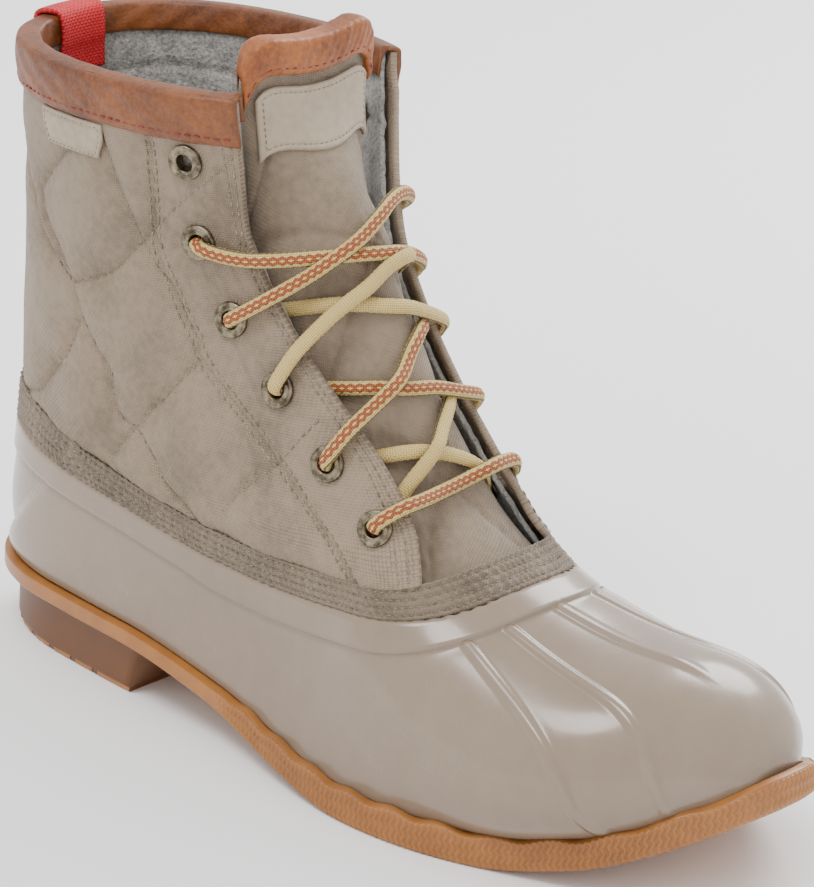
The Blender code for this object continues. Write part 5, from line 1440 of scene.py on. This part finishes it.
TONGUE_LABEL = (0.044, 0.0185, 0.0118)  # width, height, top edge under the tongue's top
TONGUE_LABEL_LIFT = 0.0012  # over the tongue's face, for its padding
COLLAR_LABEL = (0.028, 0.0105, 0.66)  # width, height, |a| of its middle
both = tongue_at(np.array([-0.8, 0.8]), np.full(2, TONGUE_LABEL[2]))[0]
LABEL_HALF = float(np.linalg.norm(both[1] - both[0])) / 1.6
collar_middle = float(np.interp(COLLAR_LABEL[2], COLLARS[-1][0].a, COLLARS[-1][0].share))


def on_tongue(x, depth):
    point, n, up = tongue_at(x / LABEL_HALF, depth)
    return point + n * TONGUE_LABEL_LIFT, n, up


def on_collar(x, depth):
    return collar_at(-1 + collar_middle - x / COLLARS[-1][0].length, depth)


width, height, top = TONGUE_LABEL
tongue_label_place = label_place(on_tongue, width, height, top, 0.0003)
plate = laid_grid(tongue_label_place, np.linspace(0, 1, 89), np.linspace(0, 1, 41))
facing_out(plate, Vector((0, 0.08, 0.10)))
finished("tongue_plate", plate, LABEL, ["tongue_label"], solid=0.0007)
width, height, _ = COLLAR_LABEL
collar_label_place = label_place(on_collar, width, height, BINDING_OUTSIDE + 0.0004, 0.0010, 0.16)
plate = laid_grid(collar_label_place, np.linspace(0, 1, 57), np.linspace(0, 1, 25))
facing_out(plate, Vector((0, 0.06, 0.15)))
finished("collar_plate", plate, LABEL, ["collar_label"], solid=0.0010)

# %% [markdown]
# ## Eyelets
# An eyelet is turned metal: a rolled flange, a barrel through the stay and a washer behind. Its outline is
# drawn once and spun round its axis. The hole stays open, so the lace can run through it.

# %% Eyelets
# Outline of the turned metal: radius, height over the nylon
TURNED = (
    (0.00235, -0.0005), (0.00245, 0.0006), (0.00275, 0.00118), (0.00315, 0.00128), (0.00350, 0.00105),
    (0.00385, 0.00078), (0.00430, 0.00086), (0.00475, 0.00098), (0.00508, 0.00082), (0.00525, 0.0003),
    (0.00520, -0.0002), (0.00320, -0.0003), (0.00320, -0.0062), (0.00460, -0.0062), (0.00455, -0.0067),
    (0.00240, -0.0067),
)


def make_eyelet(number, side, name):
    u, a = eyelet_place(number, side)
    point = upper(u, a)
    n = surface_normals(u, a, EVEN_REACH)
    shape = bmesh.new()
    ring = [shape.verts.new((r, 0, h)) for r, h in TURNED]
    edges = [shape.edges.new((ring[k], ring[(k + 1) % len(ring)])) for k in range(len(ring))]
    bmesh.ops.spin(shape, geom=ring + edges, cent=(0, 0, 0), axis=(0, 0, 1), dvec=(0, 0, 0),
                   angle=2 * math.pi, steps=40, use_merge=True)
    place = Vector(n).to_track_quat("Z", "Y").to_matrix().to_4x4()
    place.translation = Vector(point + n * (STAY_STEP + 0.0004))
    bmesh.ops.transform(shape, matrix=place, verts=shape.verts)
    finished(f"turned_{name}", shape, BRASS, [name])


for number in range(len(EYELETS)):
    make_eyelet(number, -1, f"eyelet_lateral_{number + 1}")
    make_eyelet(number, 1, f"eyelet_medial_{number + 1}")

# %% [markdown]
# ## Lace
# One flattened braided lace laces the boot: it comes out of a second eyelet, crosses down, makes a bar over
# the lowest pair and crosses up again to the other second eyelet. Both ends stop inside, behind the stays.
# We follow its whole way as a list of runs, join them through the eyelets and sweep one tube along it.

# %% Runs of the lace
LACE_WIDE, LACE_THICK = 0.0043, 0.0032
LACE_PITCH, BRAID_PITCH = 0.0008, 0.0019  # distance between the tube's rings, and between two braid bumps
# Runs across the throat from the outer to the inner side: a at both ends, whether it runs over the stay
# there, and u at five even steps
RUNS_ACROSS = (
    (-0.309, 0.326, True, True, (0.476, 0.455, 0.448, 0.465, 0.485)),
    (-0.200, 0.160, False, False, (0.516, 0.496, 0.480, 0.468, 0.464)),
    (-0.240, 0.360, False, True, (0.602, 0.560, 0.546, 0.549, 0.568)),
    (-0.240, 0.363, False, True, (0.712, 0.663, 0.645, 0.644, 0.653)),
    (-0.379, 0.358, True, True, (0.768, 0.759, 0.790, 0.830, 0.843)),
    (-0.200, 0.160, False, False, (0.478, 0.480, 0.496, 0.520, 0.545)),
    (-0.352, 0.180, True, False, (0.563, 0.568, 0.577, 0.610, 0.636)),
    (-0.371, 0.160, True, False, (0.660, 0.688, 0.697, 0.713, 0.725)),
    (-0.438, 0.340, True, True, (0.873, 0.788, 0.732, 0.726, 0.733)),
)
LAYER = (3, 0, 0, 0, 2, 1, 2, 2, 0)  # which run lies on top where two cross
# The lace's way: run, direction, eyelet at its end (side and number from the top)
WAY = (
    (8, 1, (1, 2)), (7, -1, (-1, 3)), (2, 1, (1, 4)), (5, -1, (-1, 5)), (0, 1, (1, 5)), (1, -1, (-1, 4)),
    (6, 1, (1, 3)), (3, -1, (-1, 2)), (4, 1, (1, 1)),
)
INTO_EYELET = (0.0012, -0.0020, -0.0050, -0.0064)  # heights of the lace on its way in through an eyelet
# Height of the lace over the form: on the tongue, and over the stays
LOW = LACE_THICK / 2 + 0.0016 - TONGUE_DEPTH
HIGH = STAY_STEP + 0.0004 + 0.0013 + LACE_THICK / 2


def half_throat(u, side):
    """|a| of the throat's edge at u."""
    edge_u, edge_a = throat_edge(np.linspace(0, 1, 200), side)
    order = np.argsort(edge_u)
    return np.interp(u, edge_u[order], edge_a[order])


def run_across(row):
    """Points and outward normals along one run of the lace."""
    a0, a1, over_outer, over_inner, heights = row
    steps = tuple((k / 4, h) for k, h in enumerate(heights))
    t = np.linspace(0, 1, 81)
    a = a0 + (a1 - a0) * t
    u = spline(steps, 1, t)
    f = np.where(a < 0, np.abs(a) / half_throat(u, -1), np.abs(a) / half_throat(u, 1))
    over = np.where(a < 0, over_outer, over_inner)
    lift = np.where(over, LOW + (HIGH - LOW) * np.minimum(f, 1) ** 2.2, LOW)
    n = surface_normals(u, a, EVEN_REACH)
    return upper(u, a) + n * lift[:, None], n


def with_crossings(runs):
    """Lifts the upper run of each crossing over the lower one."""
    raised = []
    for k, (points, n) in enumerate(runs):
        lift = np.zeros(len(points))
        for m, (other, _) in enumerate(runs):
            if LAYER[m] >= LAYER[k]:
                continue
            gap = np.linalg.norm(points[:, None] - other[None], axis=2)
            i = int(np.argmin(gap.min(1)))
            if gap.min() < 0.004 and 8 < i < 73:
                away = np.linalg.norm(points - points[i], axis=1)
                height = LACE_THICK + 0.0002 - gap.min() * 0.3
                lift = np.maximum(lift, height * np.exp(-((away / 0.0065) ** 2)))
        raised.append((points + n * lift[:, None], n))
    return raised


def lace_way():
    """All the runs one after another, with the steps through the eyelets between them."""
    runs = with_crossings([run_across(row) for row in RUNS_ACROSS])
    points, faces = [], []

    def through(side, number, inward):
        u, a = eyelet_place(number, side)
        n = surface_normals(u, a, EVEN_REACH)
        for lift in INTO_EYELET if inward else INTO_EYELET[::-1]:
            points.append(upper(u, a) + n * lift)
            faces.append(n)

    through(-1, 1, False)
    for run, direction, (side, number) in WAY:
        line, n = runs[run]
        points.extend(line[::direction])
        faces.extend(n[::direction])
        goes_in = RUNS_ACROSS[run][3 if side > 0 else 2]
        through(side, number, goes_in)
    return np.array(points), np.array(faces)


def resampled(points, faces, passes=10):
    """Even steps along the lace, smoothed so that no bend is sharp."""
    run = run_along(points)
    at = np.arange(0, run[-1], LACE_PITCH)
    line = np.stack([np.interp(at, run, points[:, k]) for k in range(3)], 1)
    face = np.stack([np.interp(at, run, faces[:, k]) for k in range(3)], 1)
    for _ in range(passes):
        line[1:-1] = (line[:-2] + 2 * line[1:-1] + line[2:]) / 4
        face[1:-1] = (face[:-2] + 2 * face[1:-1] + face[2:]) / 4
    return line, face / np.linalg.norm(face, axis=1, keepdims=True)


LACE_LINE, LACE_FACE = resampled(*lace_way())
print("lace", round(len(LACE_LINE) * LACE_PITCH * 1000), "mm long")

# %% Lace tube
def lace_frames():
    """Sideways and outward directions along the lace, turned as little as possible."""
    ahead = np.gradient(LACE_LINE, axis=0)
    ahead /= np.linalg.norm(ahead, axis=1, keepdims=True)
    side = np.cross(LACE_FACE[0], ahead[0])
    sides = []
    for t, n in zip(ahead, LACE_FACE):
        flat = np.cross(n, t)
        steep = abs(float(t @ n))
        if np.linalg.norm(flat) > 1e-6 and flat @ side < 0:
            flat = -flat
        side = side + flat * (0.5 if steep < 0.6 else 0.02)
        side = side - t * (side @ t)
        side = side / np.linalg.norm(side)
        sides.append(side)
    sides = np.array(sides)
    return sides, np.cross(ahead, sides)


LACE_SIDES, LACE_OUT = lace_frames()


def lace_point(t, k):
    """Braid: a flattened round section with the small bumps of its strands."""
    k = np.rint(k).astype(int)
    turn = 2 * math.pi * t
    bumps = k * LACE_PITCH / BRAID_PITCH * 2 * math.pi
    braid = 1 + 0.045 * np.sin(8 * turn + bumps) + 0.03 * np.sin(8 * turn - k * 2.6)
    across = np.cos(turn) * LACE_WIDE / 2 * braid
    out = np.sin(turn) * LACE_THICK / 2 * braid
    return LACE_LINE[k] + LACE_SIDES[k] * across[:, None] + LACE_OUT[k] * out[:, None]


def lace_paint():
    """Cream yellow braid with a rust zigzag along the middle of its outer face, and painted shade as a dark
    line along both edges of that face.
    """
    paint, tree, shader, where = start_paint("braided_lace", 0.6)
    parts = add(tree, "ShaderNodeSeparateXYZ", {0: where.outputs["UV"]})
    girth = math.pi * (LACE_WIDE + LACE_THICK) / 2
    across = calc(tree, "DIVIDE", parts.outputs["X"], girth)
    face = calc(tree, "PINGPONG", calc(tree, "ADD", across, 0.25), 0.5)
    along = calc(tree, "PINGPONG", calc(tree, "MULTIPLY", parts.outputs["Y"], 1 / 0.0026), 0.5)
    line = calc(tree, "MULTIPLY_ADD", along, 0.11, calc(tree, "SUBTRACT", face, 0.4725))
    near = calc(tree, "ABSOLUTE", line)
    stripe = calc(tree, "LESS_THAN", near, 0.045)
    # Painted shade: a dark line of the lace's own hue along both edges of its outer face
    beside = calc(tree, "ABSOLUTE", calc(tree, "SUBTRACT", face, 0.27))
    edge_shade_line = calc(tree, "LESS_THAN", beside, 0.03)
    weave = use(tree, WEAVE, {"Vector": where.outputs["UV"], "Threads": 1500.0})
    cream = toned(tree, (0.38, 0.26, 0.075), (0.72, 0.53, 0.20), weave, 0.2, 0.9)
    rust = toned(tree, (0.12, 0.022, 0.005), (0.40, 0.10, 0.02), weave, 0.2, 0.9)
    mixed = add(tree, "ShaderNodeMix", {0: stripe, 6: cream, 7: rust}, data_type="RGBA")
    edge = add(tree, "ShaderNodeMix", {0: edge_shade_line, 6: mixed.outputs[2], 7: (0.14, 0.11, 0.035, 1)},
               data_type="RGBA")
    tree.links.new(edge.outputs[2], shader.inputs["Base Color"])
    bump(tree, shader, weave, 0.0003, 0.7)
    return paint


LACE = lace_paint()
lace_shape = laid_grid(lace_point, np.linspace(0, 1, 25), np.arange(float(len(LACE_LINE))))
finished("braided_lace", lace_shape, LACE, ["lace"], fill=True)

# %% [markdown]
# ## Stitches
# Sewing is what makes a boot look made. Each stitch is one small bead of thread, half sunk in the cloth,
# and a row of them is a loop along a seam. All the rows of one thread are joined in one piece.

# %% Rows of stitches
def stitch_row(shape, points, normals, pitch=0.0028, length=0.0021, radius=0.00032):
    """Adds one bead of thread per pitch along a line of points."""
    run = run_along(points)
    for at in np.arange(pitch / 2, run[-1], pitch):
        centre = np.array([np.interp(at, run, points[:, k]) for k in range(3)])
        ahead = np.array([np.interp(at + 1e-4, run, points[:, k]) for k in range(3)]) - centre
        n = np.array([np.interp(at, run, normals[:, k]) for k in range(3)])
        x = Vector(ahead).normalized()
        z = (Vector(n) - x * Vector(n).dot(x)).normalized()
        place = Matrix((x * length / 2, z.cross(x) * radius, z * radius)).transposed().to_4x4()
        place.translation = Vector(centre)
        bmesh.ops.create_icosphere(shape, subdivisions=1, radius=1.0, matrix=place)


def shaft_row(shape, u, a, lift=0.00012):
    stitch_row(shape, on_shaft(u, a, lift), surface_normals(u, a, EVEN_REACH))


BORDER_X, BORDER_Y = (0.05, 0.95), (0.1, 0.9)  # where a label's border is sewn, as shares of the label


def border(count, ends=20):
    """x and y once round a label's sewn border."""
    (x0, x1), (y0, y1) = BORDER_X, BORDER_Y
    x = [np.linspace(x0, x1, count), np.full(ends, x1), np.linspace(x1, x0, count), np.full(ends, x0)]
    y = [np.full(count, y0), np.linspace(y0, y1, ends), np.full(count, y1), np.linspace(y1, y0, ends)]
    return np.concatenate(x), np.concatenate(y)


# On each side: two rows beside the throat's edge, the quilting's seams, two rows beside the eyestay's seam
taupe = bmesh.new()
for side in (-1, 1):
    w = np.linspace(0.02, 0.93, 90)
    length = (1 - w) * (1 - THROAT_SHARE) * BAND_EDGE.length + w * COLLARS[side][0].length
    for into in (0.0030, 0.0058):
        shaft_row(taupe, *both_sides(side * (1 - into / length), w))
    for seam in SEAMS:
        shaft_row(taupe, *drawn(seam, side, 60))
    for shift in (-0.009, 0.009):
        u, a = drawn(STAY_SEAM, side, 80)
        shaft_row(taupe, u, a + shift)
# The rows that hold the gathered band
for v in STITCH_ROWS:
    t = np.linspace(-1, 1, 700)
    u, a = band_place(t, np.full(700, v))
    stitch_row(taupe, band_point(t, np.full(700, v)) + surface_normals(u, a, EVEN_REACH) * 0.00015,
               surface_normals(u, a, EVEN_REACH), pitch=0.0023, length=0.0017, radius=0.00028)
# The labels' borders
for place, count in ((tongue_label_place, 60), (collar_label_place, 40)):
    x, y = border(count)
    points = place(x, y)
    n = np.cross(place(x + 0.01, y) - points, place(x, y + 0.01) - points)
    n /= np.linalg.norm(n, axis=1, keepdims=True)
    stitch_row(taupe, points, n, pitch=0.0018, length=0.0013, radius=0.00022)
finished("taupe_stitches", taupe, TAUPE_THREAD, merge=False)

# %% Red stitches of the bindings
red = bmesh.new()
t = np.linspace(-0.985, 0.985, 400)
point, n, _ = collar_at(t, np.full(400, BINDING_OUTSIDE - 0.0026))
over = BINDING_CLEAR + BINDING_WALL
stitch_row(red, point + n * over * 1.1, n, pitch=0.0030, length=0.0023)
c = np.linspace(-0.94, 0.94, 160)
point, n, _ = tongue_at(c, np.full(160, TONGUE_BINDING_OUTSIDE - 0.0022))
stitch_row(red, point + n * (TONGUE_BINDING_CLEAR + BINDING_WALL) * 1.08, n, pitch=0.0030, length=0.0023)
finished("red_stitches", red, RED_THREAD, merge=False)

# %% Finishes of the CAD nodes that stay
for name, paint in (("outsole", GUM), ("insole", FLEECE), ("heel_patch", SHELL)):
    for k in range(len(nodes[name].material_slots)):
        nodes[name].material_slots[k].material = paint
    print(name, "has", paint.name)

# %% [markdown]
# The dressed boot has to be the size of the CAD model, so both boxes are measured and each corner's shift
# is printed. Only a stitch or a rolled edge may stand a millimetre past the CAD model.

# %% Finish
low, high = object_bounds()
sizes = {"cad": [list(v) for v in cad_box], "visual": [list(low), list(high)]}
for corner, cad, dressed in zip(("lower", "upper"), sizes["cad"], sizes["visual"]):
    print(corner, "corner moved by mm", [round((b - a) * 1000, 1) for a, b in zip(cad, dressed)])
